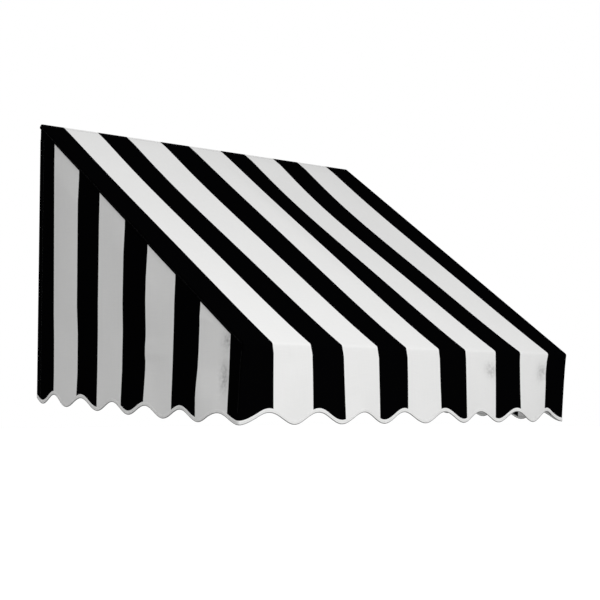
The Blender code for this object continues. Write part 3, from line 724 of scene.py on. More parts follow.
# %% Hang of the valance
VALANCE_RIPPLE = 0.0032
RIPPLE_LENGTH = 0.37
FINE_SHARE = 0.35
FINE_LENGTH = RIPPLE_LENGTH / 2.7
CORNER_SWING = 0.0215
CORNER_REACH = 0.11
SWING_POWER = 0.8
VALANCE_DRIFT = (0.0085, -0.017, -0.026)
DRIFT_FADE = 0.040
EARLY_SHARE = 0.4
EARLY_FALL = 0.12
DENTS = (
    # u across, metres below the fold, depth, half width, half height
    (0.296, 0.055, 0.0005, 0.026, 0.022),
    (0.545, 0.060, 0.0035, 0.024, 0.026),
    (-0.500, 0.045, 0.0012, 0.030, 0.018),
)


def corner_swing(run, drop):
    """How far the free cloth near a front corner is drawn toward the wall."""
    share = clamp(drop / VALANCE_DROP) ** SWING_POWER
    return CORNER_SWING * share * math.exp(-((run / CORNER_REACH) ** 2))


def valance_wave(x, fall):
    """Gentle wave of the valance, none at the front bar and none at its corners."""
    fade = clamp((flat_half - abs(x)) / PITCH)
    broad = math.sin(math.tau * x / RIPPLE_LENGTH)
    fine = FINE_SHARE * math.sin(math.tau * x / FINE_LENGTH + 1.0)
    return VALANCE_RIPPLE * fade * fall * fall * (broad + fine)


def valance_drift(x, fall):
    """How far the valance hangs over to the right, which dies away at its corners."""
    fade = clamp((flat_half - abs(x)) / DRIFT_FADE)
    whole, tilt, curve = VALANCE_DRIFT
    share = EARLY_SHARE * min(1.0, fall / EARLY_FALL) + (1 - EARLY_SHARE) * fall
    return fade * share * (whole + tilt * x + curve * x * x)


def valance_place(x, depth, fall, level=0.0):
    """A point of the valance or of its lap, by the share of its fall and a level below it."""
    on_lap = depth > 0
    run = depth if on_lap else half_width - abs(x)
    bottom = (wing_scallop_height(run) if on_lap else scallop_height(run)) + TAPE_HEIGHT
    height = FRONT.z + (bottom - FRONT.z) * fall - level
    y = FRONT.y - COVER_RADIUS + depth + corner_swing(run, FRONT.z - height) - valance_wave(x, fall)
    for u, below, deep, wide, high in DENTS:
        y += deep * hump((x - u) / wide, (FRONT.z - height - below) / high)
    return Vector((x + valance_drift(x, fall), y, height))


print("A corner swings in by up to", CORNER_SWING * 1000, "mm")

# %% [markdown]
# ## The drift of the stripes
#
# A cover is never sewn quite square, so its stripes lie a few millimetres to one side and
# wander as they come down. Moving the cloth would change the outline. Moving the pattern
# on the cloth is enough, and that is a small shift of u in the UV map.

# %% Drift of the stripes
HEAD_DRIFT = 0.009
BAY_DRIFT = {-1: 0.013, 1: 0.014}
FRONT_DRIFT = 0.012
FRONT_TILT = 0.012
FRONT_PEAK = 12.2


def grain_drift(x, run):
    """How far the stripes of the slope lie to the left, at the head and above the fold."""
    along = run / slope_length
    head = HEAD_DRIFT + BAY_DRIFT[-1 if x < 0 else 1] * bay_share(x)
    front = clamp((side_axis - abs(x)) / PITCH) * (FRONT_DRIFT + FRONT_TILT * max(0.0, x))
    return head * (1 - along) ** 2 + front * FRONT_PEAK * along ** 4 * (1 - along)


print("At the head the stripes lie", HEAD_DRIFT * 1000, "mm to the left")

# %% [markdown]
# ## Sewing the cover
#
# With those rules, every point of the cover has its place. The laps need one more rule:
# where the slope's lap turns into the valance's lap, the cloth is folded to a mitre, so
# the points of the fold run together at one corner. The pocket is cut away where a
# bracket takes hold of the head bar.

# %% Sew the cover
# Strength of the painted shade in the valance's dents
VALANCE_DENT_SHADE = 0.8
half_turn = math.radians(180.0 - slope_degrees) / 2
middle_facing = around(FRONT, (180.0 + slope_degrees) / 2)[1]
mitre_out = FRONT + middle_facing * COVER_RADIUS / math.cos(half_turn)
mitre = mitre_out + (FRONT - mitre_out).normalized() * LAP / math.cos(half_turn)


def cover_place(i, j):
    """Where one place of the cover hangs."""
    x, depth, _ = columns[i]
    point, facing, zone, run, _ = rows[j]
    if zone == "valance":
        on_tape = TAPE_HEIGHT * max(0.0, run * VALANCE_STEPS - VALANCE_STEPS + 2) / 2
        fall = min(1.0, run * VALANCE_STEPS / (VALANCE_STEPS - 2))
        return valance_place(x, depth, fall, on_tape)
    shift = Vector((x, 0.0, 0.0))
    if zone == "fold" and depth > EDGE_BEND:
        share = (depth - EDGE_BEND) / (LAP - EDGE_BEND)
        return (point - facing * EDGE_BEND).lerp(mitre, share) + shift
    hang = sag(x, run) if zone == "slope" else 0.0
    return point - facing * (depth + hang) + shift


def cover_grain(i, j):
    """The flat place of one place of the cover."""
    x, _, u = columns[i]
    zone, run, v = rows[j][2:]
    if zone in ("pocket", "back", "slope"):
        u += grain_drift(x, run)
    return u, v


def cover_keeps(i, j):
    """The pocket is open at the brackets, and the laps start below the head bar."""
    zone = rows[j][2]
    middle = (columns[i][0] + columns[i + 1][0]) / 2
    if zone == "pocket":
        return not any(start < middle < end for start, end in OPEN_STRETCHES)
    return not (zone == "back" and max(columns[i][1], columns[i + 1][1]) > EDGE_BEND)


def cover_dent_shade(i, j):
    """Painted shade in the dents of the valance."""
    zone, run = rows[j][2:4]
    if zone != "valance":
        return 0.0
    u, drop = columns[i][2], run * VALANCE_DROP
    return sum(VALANCE_DENT_SHADE * hump((u - d[0]) / d[3], (drop - d[1]) / d[4]) for d in DENTS[:2])


cover = lay_sheet("cover", len(columns), len(rows), cover_place, cover_grain, cover_keeps, cover_dent_shade)
finish_cloth(cover, CANVAS)
finish_piece(cover, "striped_cover", canvas, "striped_canvas", "top_panel")

# %% [markdown]
# ## The wings
#
# Each wing is a flat cut under the lap of the cover. It is turned in round its upright as
# a hem and hangs free below the arm. Between the tubes it stands out a few millimetres.
# Its grain was cut a little off, so the stripes drift toward the wall as they fall, most
# of all near the front. That drift belongs to the UV map and leaves the outline alone.

# %% Wing places
HEM_TURN = 130.0
HEM_STEPS = 14
WING_STEP = 0.0080
WING_ROWS = 96
WING_REAR_STRIPE = 0.1005
WING_BULGE = 0.004
BULGE_MEAN = 0.6
BULGE_WAVE = 0.4
GRAIN_TURN = 0.030
GRAIN_SPREAD = 0.098
GRAIN_SET = 0.005
GRAIN_TURNING = 0.17
GRAIN_BLEND = 0.06
ARM_CLEAR = 1.5 * TUBE_RADIUS
wing_x = lap_x - CANVAS - CLEAR
wing_front = EDGE_BEND + CANVAS + CLEAR
wing_rear = projection + HEAD.y
wing_runs = spaced(wing_front, wing_rear, WING_STEP) + [wing_rear]
WING_DENTS = (
    # metres from the front, metres below the front bar, depth, half width, half height
    (0.070, -0.010, 0.0035, 0.022, 0.022),
    (0.085, 0.085, 0.0045, 0.020, 0.040),
    (0.190, 0.120, -0.0030, 0.050, 0.060),
    (0.420, 0.060, 0.0030, 0.060, 0.110),
)


def rake_height(run):
    """Top edge of a wing, just under the bend of the cover, at a distance from the front."""
    level = (COVER_RADIUS - wing_front) / -down_slope.y
    return HEAD.z + level + (HEAD.y - run + projection) * down_slope.z / -down_slope.y


def bulge(run, height):
    """How far a wing stands out from its plane, between the tubes that hold it."""
    rear = projection - run
    inside = min(rake_height(run) - height - 2 * LAP, run - 3 * LAP, rear - 3 * LAP)
    inside = min(inside, abs(height - FRONT.z) - 6 * TUBE_RADIUS)
    wave = BULGE_MEAN - BULGE_WAVE * math.cos(math.pi * run / PITCH)
    out = WING_BULGE * wave * clamp(2 * inside / PITCH)
    fade = clamp((rake_height(run) - height - 2 * LAP) / LAP)
    fade *= clamp((run - LAP) / LAP)
    fade *= clamp((abs(height - FRONT.z) - ARM_CLEAR) / (2 * TUBE_RADIUS))
    for start, below, deep, wide, high in WING_DENTS:
        out -= deep * fade * hump((run - start) / wide, (FRONT.z - height - below) / high)
    return out


def wing_place(run, share, level=0.0):
    """A point of the right wing, from its front and by the share of its fall."""
    bottom = wing_scallop_height(run) + TAPE_HEIGHT
    top = rake_height(run)
    height = top + (bottom - top) * share - level
    y = run - projection + corner_swing(run, FRONT.z - height)
    return Vector((wing_x + bulge(run, height), y, height))


def wing_grain(run, point):
    """The flat place of a wing's point, with u from the middle of its first white stripe."""
    wall = projection - run - corner_swing(run, FRONT.z - point.z)
    drop = max(0.0, rake_height(run) - point.z)
    drift = (GRAIN_SPREAD * wall - GRAIN_TURN) * drop
    drift -= GRAIN_SET * min(1.0, max(-0.8, (wall - GRAIN_TURNING) / GRAIN_BLEND), run / PITCH)
    return wall + drift - WING_REAR_STRIPE - WHITE_STRIPE / 2, point.z


print(len(wing_runs), "columns on a wing")

# %% [markdown]
# ## Sewing the wings
#
# Past the last column at the wall the cloth goes on round the upright as the hem, which is
# an arc of columns. The left wing could be a mirrored copy of the right one, but its dents
# carry painted shade and the right one's don't, so each is laid out with its own sign.

# %% Sew the wings
# Strength of the painted shade in the left wing's dents
WING_DENT_SHADE = 0.9
SIDES = (("left", -1), ("right", 1))


def wing_cell(i, j):
    """Where one place of the right wing hangs, and its place on the flat cloth."""
    on_tape = max(0, j - (WING_ROWS - 3)) / 2
    share = min(1.0, j / (WING_ROWS - 3))
    level = TAPE_HEIGHT * on_tape
    if i < len(wing_runs):
        point = wing_place(wing_runs[i], share, level)
        return point, wing_grain(wing_runs[i], point)
    turn = math.radians(HEM_TURN * (i - len(wing_runs) + 1) / HEM_STEPS)
    top = HEAD.z - TUBE_RADIUS - 2 * LAP
    low = wing_scallop_height(wing_rear) + TAPE_HEIGHT
    height = top + (low - top) * share - level
    x = side_axis + COVER_RADIUS * math.cos(turn)
    point = Vector((x, HEAD.y + COVER_RADIUS * math.sin(turn), height))
    u, v = wing_grain(wing_rear, point)
    return point, (u - COVER_RADIUS * turn, v)


def wing_dent_shade(i, j):
    """Painted shade in the two dents near the front corner of the left wing."""
    if i >= len(wing_runs):
        return 0.0
    point = wing_cell(i, j)[0]
    below = FRONT.z - point.z
    dent_shade = 0.0
    for dent in WING_DENTS[:2]:
        dent_shade += WING_DENT_SHADE * hump((wing_runs[i] - dent[0]) / dent[3], (below - dent[1]) / dent[4])
    return dent_shade


def sew_wing(side, sign):
    """One wing of canvas."""
    wing = lay_sheet(
        side + "_side",
        len(wing_runs) + HEM_STEPS,
        WING_ROWS,
        lambda i, j: wing_cell(i, j)[0] * Vector((sign, 1.0, 1.0)),
        lambda i, j: wing_cell(i, j)[1],
        dent_shade_at=wing_dent_shade if sign < 0 else lambda i, j: 0.0,
    )
    area = flat_area(wing)
    finish_cloth(wing, CANVAS)
    finish_piece(wing, side + "_side_panel", canvas, "striped_canvas", side + "_wing")
    print(wing.name, len(wing.data.polygons), "faces,", round(area, 3), "square metres")
    return area


wing_areas = {side: sew_wing(side, sign) for side, sign in SIDES}

# %% [markdown]
# ## The edge tape
#
# The whole lower edge is bound with white tape that is folded over the cloth, and the
# tape is what draws the scalloped line. A curve with a flat profile would twist at the
# corners. A row of stations doesn't: each knows its low and its high end on the cloth,
# and the way the cloth faces there is square to both the edge and the fall of the cloth.

# %% Stations along the edge
TAPE = 0.0006
TAPE_STEP = 0.0040
single = CANVAS / 2 + CLEAR + TAPE / 2
double = single + CANVAS + CLEAR
LAP_FROM = 0.9 * EDGE_BEND


def edge_stations(sign):
    """Stations as (low, high, inner) along one half of the edge, from the middle to the wall."""
    found = [(x, 0.0, single) for x in spaced(0.0, flat_half, TAPE_STEP)]
    for x, depth, _ in columns[-BEND_STEPS - LAP_STEPS - 1:]:
        found.append((x, depth, single if depth < LAP_FROM else double))
    stations = []
    for x, depth, inner in found:
        low = valance_place(sign * x, depth, 1.0, TAPE_HEIGHT)
        stations.append((low, valance_place(sign * x, depth, 1.0), inner))
    flip = Vector((sign, 1.0, 1.0))
    past_lap = LAP + TAPE_HEIGHT / 2
    for run in spaced(past_lap, wing_rear, TAPE_STEP) + [wing_rear]:
        low, high = wing_place(run, 1.0, TAPE_HEIGHT), wing_place(run, 1.0)
        stations.append((low * flip, high * flip, single))
    return stations


def facing_at(stations, number):
    """The way the cloth faces at a station."""
    before, after = stations[max(0, number - 1)], stations[min(len(stations) - 1, number + 1)]
    low, high, _ = stations[number]
    return (after[0] - before[0]).cross(high - low).normalized()


edge = edge_stations(-1)[:0:-1] + edge_stations(1)
facings = [facing_at(edge, number) for number in range(len(edge))]
along_edge = [0.0]
for before, after in zip(edge, edge[1:]):
    along_edge.append(along_edge[-1] + (after[0] - before[0]).length)
print(len(edge), "stations along", round(along_edge[-1], 2), "m of edge")

# %% [markdown]
# ## The fold of the tape
#
# Cut across, the tape runs down the outside, round the edge and a little way up the
# inside, and it puffs out between its folds. That section is a short list of points. Where
# the cover's lap lies over the wing, the tape holds two layers, so its inner side stands
# farther off.

# %% Section of the tape
TAPE_PUFF = 0.0004
INNER_HEIGHT = 0.0055
FOLD_TURNS = (30, 60, 90, 120, 150)
FACE_SHARES = (1.0, 0.95, 0.75, 0.5, 0.25, 0.0)


def tape_section(inner):
    """The folded section as (offset outward, height), from the outer edge to the inner."""
    def puffed(share):
        return TAPE_PUFF * math.sin(math.pi * share)

    outside = [(single + puffed(share), share * TAPE_HEIGHT) for share in FACE_SHARES]
    below = CLEAR + TAPE / 2
    fold = []
    for degrees in FOLD_TURNS:
        turn = math.radians(degrees)
        reach = single if degrees < 90 else inner
        fold.append((reach * math.cos(turn), -below * math.sin(turn)))
    inside = [(-inner - puffed(share), share * INNER_HEIGHT) for share in reversed(FACE_SHARES)]
    return outside + fold + inside


section = tape_section(single)
across_tape = [0.0]
for (a, b), (c, d) in zip(section, section[1:]):
    across_tape.append(across_tape[-1] + math.hypot(c - a, d - b))
fold_line = across_tape[len(FACE_SHARES) + len(FOLD_TURNS) // 2]
print("The tape is", round(across_tape[-1] * 1000, 1), "mm wide before it is folded")

# %% [markdown]
# ## White tape
#
# Binding tape is woven with ribs across it, which catch a little shadow. Its UV map runs
# along and across the tape in metres, so a sine wave draws the ribs and their painted shade, and
# the distance from the fold line gives a darker rim of painted shade, where the tape turns under.

# %% Tape material
TAPE_RIBS = 0.0016
TAPE_WHITE = (0.84, 0.84, 0.835, 1.0)
# Painted shade along the fold: its tone, how far from the fold it is full, and where it fades out
FOLD_SHADE_TONE = 0.22
FOLD_SHADE_INNER = 0.0016
FOLD_SHADE_OUTER = 0.0032


def tape_material():
    """White woven tape with fine ribs across it, with painted shade in the fold."""
    material, tree, shader = start_material("edge_tape", 0.85, specular=0.12)
    flat, along, across = cloth_place(tree)
    ribs = wave_along(tree, along, TAPE_RIBS)
    # Painted shade: the tape is drawn darker near its fold line
    from_fold = calculate(tree, "ABSOLUTE", calculate(tree, "SUBTRACT", across, fold_line))
    fold = rescale(tree, from_fold, FOLD_SHADE_INNER, FOLD_SHADE_OUTER, FOLD_SHADE_TONE, 1.0)
    worn = spread_noise(tree, noise(tree, flat, 60.0, 4.0), 0.95, 1.02)
    # Painted shade in the hollows between the ribs
    ribbed = rescale(tree, ribs, -1, 1, 0.96, 1.0)
    shade = calculate(tree, "MULTIPLY", calculate(tree, "MULTIPLY", fold, worn), ribbed)
    colour = blend_colours(tree, 1.0, TAPE_WHITE, grey_of(tree, shade), "MULTIPLY")
    tree.links.new(colour, shader.inputs["Base Color"])
    yarn = noise(tree, stretched(tree, flat, (2600.0, 300.0, 1.0)), 1.0)
    link_bump(tree, shader, calculate(tree, "ADD", ribs, yarn), 0.5, 0.00015)
    return material


white_tape = tape_material()
print("Ribs of the tape:", TAPE_RIBS * 1000, "mm apart")

# %% [markdown]
# ## Folding the tape
#
# The tape is a sheet with one column for each station and one row for each point of its
# section, so it is laid and thickened exactly as the canvas was.

# %% Fold the tape
def tape_place(i, j):
    """A point of the tape's middle surface."""
    low, high, inner = edge[i]
    offset, height = tape_section(inner)[j]
    return low + facings[i] * offset + (high - low).normalized() * height


def tape_grain(i, j):
    """The place on the flat tape."""
    return along_edge[i], across_tape[j]


tape = lay_sheet("tape", len(edge), len(section), tape_place, tape_grain)
finish_cloth(tape, TAPE)
finish_piece(tape, "scalloped_edge_tape", white_tape, "edge_tape", "edge_tape")
print("Tape:", len(tape.data.polygons), "faces")

# %% [markdown]
# ## Stitches
#
# Thread is what tells a sewn edge from a glued one. A stitch is a short arch of thread that
# comes out of the cloth and goes back in, so it is modelled as a thin spindle. All the
# stitches of a seam share one grid: the cells between two stitches are cut away and the
# two ends close to points. The twist of the thread is a slanted wave along it.

# %% Thread
STITCH_RINGS = 4
STITCH_SIDES = 6
THREAD_TWIST = 0.0006
TWIST_SLANT = 0.5


def thread_material(name, colour):
    """Twisted sewing thread."""
    material, tree, shader = start_material(name, 0.6, specular=0.2)
    _, along, across = cloth_place(tree)
    slant = calculate(tree, "ADD", along, calculate(tree, "MULTIPLY", across, TWIST_SLANT))
    twist = wave_along(tree, slant, THREAD_TWIST)
    grey = grey_of(tree, rescale(tree, twist, -1.0, 1.0, 0.8, 1.1))
    tree.links.new(blend_colours(tree, 1.0, colour, grey, "MULTIPLY"), shader.inputs["Base Color"])
    link_bump(tree, shader, twist, 0.6, 0.00008)
    return material


def sew(name, stitches, radius, material, slot):
    """Spindles of thread from (start, end, facing) triples."""
    per_stitch = STITCH_RINGS + 1

    def place(i, j):
        start, end, facing = stitches[i // per_stitch]
        share = (i % per_stitch) / STITCH_RINGS
        arch = math.sin(math.pi * share)
        turn = math.tau * j / STITCH_SIDES
        side = (end - start).cross(facing).normalized()
        around_thread = (side * math.cos(turn) + facing * math.sin(turn)) * radius * math.sqrt(arch)
        return start.lerp(end, share) + facing * (arch - 0.5) * radius + around_thread

    def flat(i, j):
        start, end, _ = stitches[i // per_stitch]
        along = (end - start).length * (i % per_stitch) / STITCH_RINGS
        return along, math.tau * radius * j / STITCH_SIDES

    thread = lay_sheet(
        name,
        len(stitches) * per_stitch,
        STITCH_SIDES + 1,
        place,
        flat,
        lambda i, j: i % per_stitch < STITCH_RINGS,
    )
    face_outward(thread)
    bpy.ops.object.shade_smooth()
    finish_piece(thread, name, material, slot)
    print(name, len(stitches), "stitches,", len(thread.data.polygons), "faces")


white_thread = thread_material("white_thread", (0.72, 0.72, 0.71, 1.0))
black_thread = thread_material("black_thread", (0.012, 0.012, 0.013, 1.0))
print("A stitch has", STITCH_RINGS * STITCH_SIDES, "faces before it is closed")

# %% [markdown]
# ## The zigzag of the tape
#
# A zigzag holds the tape on both sides at once. Its stitches run from a low line to a high
# line and back. On the inside the high line lies past the narrow side of the tape, so
# there the thread comes down to the canvas.

# %% Sew the zigzag
ZIGZAG = 0.0046
ZIGZAG_HEIGHTS = (0.0028, 0.0088)
STITCH_CLEAR = 0.0002
WHITE_THREAD = 0.00030


def edge_point(length, height, side):
    """A point on a face of the tape, by its distance along the edge and its height."""
    number = max(k for k, along in enumerate(along_edge[:-1]) if along <= length)
    share = (length - along_edge[number]) / (along_edge[number + 1] - along_edge[number])
    (low, high, inner), (next_low, next_high, _) = edge[number:number + 2]
    facing = facings[number].lerp(facings[number + 1], share).normalized()
    top = TAPE_HEIGHT if side > 0 else INNER_HEIGHT
    puff = TAPE_PUFF * math.sin(math.pi * min(1.0, height / top))
    offset = (single if side > 0 else inner) + TAPE / 2 + puff
    if height > top:
        offset -= TAPE + CLEAR
    foot = low.lerp(next_low, share)
    up = (high.lerp(next_high, share) - foot).normalized()
    return foot + up * height + facing * offset * side, facing * side


def zigzag():
    """Slanted stitches on both faces of the tape."""
    stitches = []
    for number in range(int((along_edge[-1] - ZIGZAG) / ZIGZAG)):
        first, last = ZIGZAG_HEIGHTS[number % 2], ZIGZAG_HEIGHTS[(number + 1) % 2]
        for side in (1, -1):
            start, facing = edge_point(number * ZIGZAG + STITCH_CLEAR, first, side)
            end, _ = edge_point((number + 1) * ZIGZAG - STITCH_CLEAR, last, side)
            stitches.append((start, end, facing))
    return stitches


sew("edge_stitches", zigzag(), WHITE_THREAD, white_thread, "edge_tape")

# %% [markdown]
# ## The straight seams
#
# Straight seams hold the head pocket, both laps and the hems of the wings. Each is a path
# of points on the cloth, and stitches of one length are set along it with a gap between
# them. The paths come from the same rules as the cloth, so the thread lies on it.

# %% Sew the seams
STITCH = 0.0036
STITCH_GAP = 0.0012
BLACK_THREAD = 0.00028
SEAM_DEPTH = 0.62 * LAP
FALL_STEPS = 12
HEM_SHARES = [0.04 + 0.05 * number for number in range(20)]


def run_stitches(path):
    """Straight stitches along a path of (point, facing) pairs."""
    stitches = []
    carry = 0.0
    for (start, facing), (end, _) in zip(path, path[1:]):
        length = (end - start).length
        while carry + STITCH < length:
            last = start.lerp(end, (carry + STITCH) / length)
            stitches.append((start.lerp(end, carry / length), last, facing))
            carry += STITCH + STITCH_GAP
        carry = max(0.0, carry - length)
    return stitches


def seam_paths():
    """Seams of the cover and the wings, as paths on the cloth's outer faces."""
    skin = CANVAS / 2
    hem_run = FLAP / 2
    head_line = HEAD + slope_normal * (COVER_RADIUS + skin) + down_slope * hem_run
    reach = Vector((flat_half, 0.0, 0.0))
    paths = [[(head_line - reach, slope_normal), (head_line + reach, slope_normal)]]
    for sign in (-1, 1):
        out = Vector((sign, 0.0, 0.0))
        lap_face = out * (lap_x + skin)
        top = HEAD + slope_normal * (COVER_RADIUS - SEAM_DEPTH) + lap_face
        paths.append([(top + down_slope * hem_run, out), (top + down_slope * slope_length, out)])
        falls = [number / FALL_STEPS for number in range(1, FALL_STEPS)]
        lap = [valance_place(sign * lap_x, SEAM_DEPTH, fall) + out * skin for fall in falls]
        paths.append([(point, out) for point in lap])
        hem = []
        for share in HEM_SHARES:
            point = wing_place(wing_rear - 2 * TUBE_RADIUS, share)
            hem.append((Vector((sign * (point.x + skin), point.y, point.z)), out))
        paths.append(hem)
    return paths


seams = [stitch for path in seam_paths() for stitch in run_stitches(path)]
sew("seam_stitches", seams, BLACK_THREAD, black_thread, "striped_canvas")

# %% [markdown]
# ## Galvanised tube
#
# A hot zinc bath leaves steel covered in crystals, which show as patches of slightly
# different grey and sheen. A Voronoi pattern gives those patches, because its cells meet at
# straight borders as crystals do. Over it lie fine grain and a faint cloud of white bloom.

# %% Tube material
COOL_TINT = (0.97, 0.99, 1.02, 1.0)
BLOOM_TONE = (0.66, 0.67, 0.68, 1.0)
CRYSTALS = 150.0


def metal_tone(tree, shader, tone, roughness, bloom):
    """Give metal its colour and sheen from a tone, a roughness and a bloom factor."""
    cool = blend_colours(tree, 1.0, grey_of(tree, tone), COOL_TINT, "MULTIPLY")
    tree.links.new(blend_colours(tree, bloom, cool, BLOOM_TONE), shader.inputs["Base Color"])
    tree.links.new(roughness, shader.inputs["Roughness"])


def galvanised_material():
    """Zinc crystals on drawn tube."""
    material, tree, shader = start_material("galvanised_tube", 0.4, metallic=1.0)
    place = add_node(tree, "ShaderNodeTexCoord").outputs["Object"]
    crystals = add_node(tree, "ShaderNodeTexVoronoi", Vector=place, Scale=CRYSTALS).outputs["Color"]
    crystal = add_node(tree, "ShaderNodeSeparateColor", Color=crystals).outputs[0]
    fine = noise(tree, place, 900.0, 3.0)
    cloud = noise(tree, place, 14.0, 5.0, 0.6)
    crystal_tone = rescale(tree, crystal, 0.0, 1.0, 0.50, 0.62)
    tone = calculate(tree, "ADD", crystal_tone, spread_noise(tree, fine, -0.02, 0.02))
    roughness = rescale(tree, calculate(tree, "ADD", crystal, cloud), 0.3, 1.6, 0.34, 0.52)
    metal_tone(tree, shader, tone, roughness, rescale(tree, cloud, 0.52, 0.72, 0.0, 0.5))
    link_bump(tree, shader, calculate(tree, "ADD", crystal, fine), 0.12, 0.0002)
    return material


galvanised = galvanised_material()
print("Crystals are about", round(1000 / CRYSTALS), "mm across")

# %% [markdown]
# ## The tubes
#
# The tubes are real pipes. A curve with a bevel would give a solid bar with closed ends,
# so each pipe is a cylinder without its ends, with a wall on the inside from Solidify and
# a small bevel where it was cut. The pipes run between the shoulders of the fittings.

# %% Cut the tubes
TUBE_SIDES = 48
END_BEVEL = 0.00035


def corner_nodes(sign):
    """Where the tube axes of one side meet: at the head, at the front and low at the wall."""
    offset = Vector((sign * side_axis, 0.0, 0.0))
    return HEAD + offset, FRONT + offset, Vector((0.0, HEAD.y, FRONT.z)) + offset


def aimed(direction):
    """The turn that brings local Z onto a direction."""
    return direction.to_track_quat("Z", "Y").to_euler()


def add_cylinder(place, direction, radius, depth, sides=TUBE_SIDES, ends="NGON"):
    """A cylinder along a direction, with its middle at a place."""
    clear_selection()
    bpy.ops.mesh.primitive_cylinder_add(
        vertices=sides,
        radius=radius,
        depth=depth,
        end_fill_type=ends,
        location=place,
        rotation=aimed(direction),
    )
    return bpy.context.object


def cut_tube(name, start, end):
    """A pipe between the shoulders of the fittings at its two ends."""
    run = end - start
    length = run.length - 2 * (SHOULDER + CLEAR)
    pipe = add_cylinder((start + end) / 2, run.normalized(), TUBE_RADIUS, length, ends="NOTHING")
    apply_modifier(pipe, "SOLIDIFY", thickness=TUBE_WALL, offset=-1.0, use_even_offset=True)
    apply_modifier(pipe, "BEVEL", width=END_BEVEL, segments=2, limit_method="ANGLE")
    smooth_below(30)
    finish_piece(pipe, name + "_pipe", galvanised, "galvanised_tube", name)


for side, sign in SIDES:
    head, front, rear = corner_nodes(sign)
    cut_tube(side + "_head_bar", head, HEAD)
    cut_tube(side + "_front_bar", front, FRONT)
    cut_tube(side + "_rafter", head, front)
    cut_tube(side + "_upright", head, rear)
    cut_tube(side + "_arm", rear, front)
cut_tube("centre_rafter", HEAD, FRONT)

# %% [markdown]
# ## Cast zinc
#
# The fittings that join the tubes are small zinc castings. Their skin takes the grain of
# the sand and keeps some pits, so it is duller than the tube. Two sizes of noise give
# the grain and the pits, and the same colouring as on the tube makes them one family.

# %% Cast material
def cast_material():
    """Zinc casting with a sandy skin."""
    material, tree, shader = start_material("cast_zinc", 0.5, metallic=1.0)
    place = add_node(tree, "ShaderNodeTexCoord").outputs["Object"]
    grain = noise(tree, place, 1400.0, 3.0)
    pits = noise(tree, place, 260.0, 4.0)
    cloud = noise(tree, place, 40.0, 4.0)
    grain_tone = spread_noise(tree, grain, 0.40, 0.48)
    tone = calculate(tree, "ADD", grain_tone, spread_noise(tree, pits, -0.03, 0.03))
    roughness = spread_noise(tree, cloud, 0.46, 0.62)
    metal_tone(tree, shader, tone, roughness, rescale(tree, cloud, 0.55, 0.75, 0.0, 0.3))
    link_bump(tree, shader, calculate(tree, "ADD", grain, pits), 0.35, 0.0003)
    return material


cast_zinc = cast_material()
print("Materials so far:", len(bpy.data.materials))

# %% [markdown]
# ## Casting the fittings
#
# Each fitting is a bundle of cylinders that meet at one point: shoulders as wide as the
# tube, and thinner spigots that slide inside it. A Boolean would join them with sharp
# inner corners. Remeshing the bundle melts the cylinders into one skin with soft corners,
# as a casting has, and smoothing takes away the steps that the remesh leaves.

# %% Cast the fittings
SPIGOT_RADIUS = TUBE_RADIUS - TUBE_WALL - CLEAR
DOME = 0.0094
VOXEL = 0.0010
SMOOTHING = 4


def add_arm(node, direction, radius, start, end):
    """One cylinder of a fitting, between two distances from its node."""
    middle = node + direction * (start + end) / 2
    return add_cylinder(middle, direction, radius, end - start)


def cast_fitting(name, node, directions):
    """A fitting with a shoulder and a spigot in each direction."""
    lumps = []
    for direction in directions:
        lumps.append(add_arm(node, direction, TUBE_RADIUS, 0.0, SHOULDER))
        lumps.append(add_arm(node, direction, SPIGOT_RADIUS, SHOULDER / 2, SHOULDER + SPIGOT))
    clear_selection()
    bpy.ops.mesh.primitive_uv_sphere_add(
        segments=TUBE_SIDES, ring_count=TUBE_SIDES // 2, radius=DOME, location=node
    )
    lumps.append(bpy.context.object)
    clear_selection()
    for lump in lumps:
        lump.select_set(True)
    bpy.context.view_layer.objects.active = lumps[0]
    bpy.ops.object.join()
    fitting = bpy.context.object
    apply_place(fitting)
    apply_modifier(fitting, "REMESH", mode="VOXEL", voxel_size=VOXEL)
    apply_modifier(fitting, "SMOOTH", factor=0.5, iterations=SMOOTHING)
    bpy.ops.object.shade_smooth()
    finish_piece(fitting, name + "_casting", cast_zinc, "cast_fittings", name)


UP = Vector((0.0, 0.0, 1.0))
TO_WALL = Vector((0.0, 1.0, 0.0))
RIGHT = Vector((1.0, 0.0, 0.0))
for side, sign in SIDES:
    head, front, rear = corner_nodes(sign)
    inward = RIGHT * -sign
    cast_fitting(side + "_head_corner", head, (inward, down_slope, -UP))
    cast_fitting(side + "_front_corner", front, (inward, -down_slope, TO_WALL))
    cast_fitting(side + "_rear_corner", rear, (UP, -TO_WALL))
cast_fitting("head_tee", HEAD, (RIGHT, -RIGHT, down_slope))
cast_fitting("front_tee", FRONT, (RIGHT, -RIGHT, -down_slope))

# %% [markdown]
# ## Zinc plate
#
# Plate that was cut, bent and then electroplated is smoother and brighter than hot-dip
# zinc. Its rolling lines still show, and a faint tint of straw and blue comes from the
# passivation. The lines are noise that is stretched along one direction, so the same
# recipe with even numbers gives the plain grain of the rivets and screws.

# %% Plate material
STRAW_TINT = (1.0, 0.97, 0.90, 1.0)
BLUE_TINT = (0.94, 0.98, 1.03, 1.0)


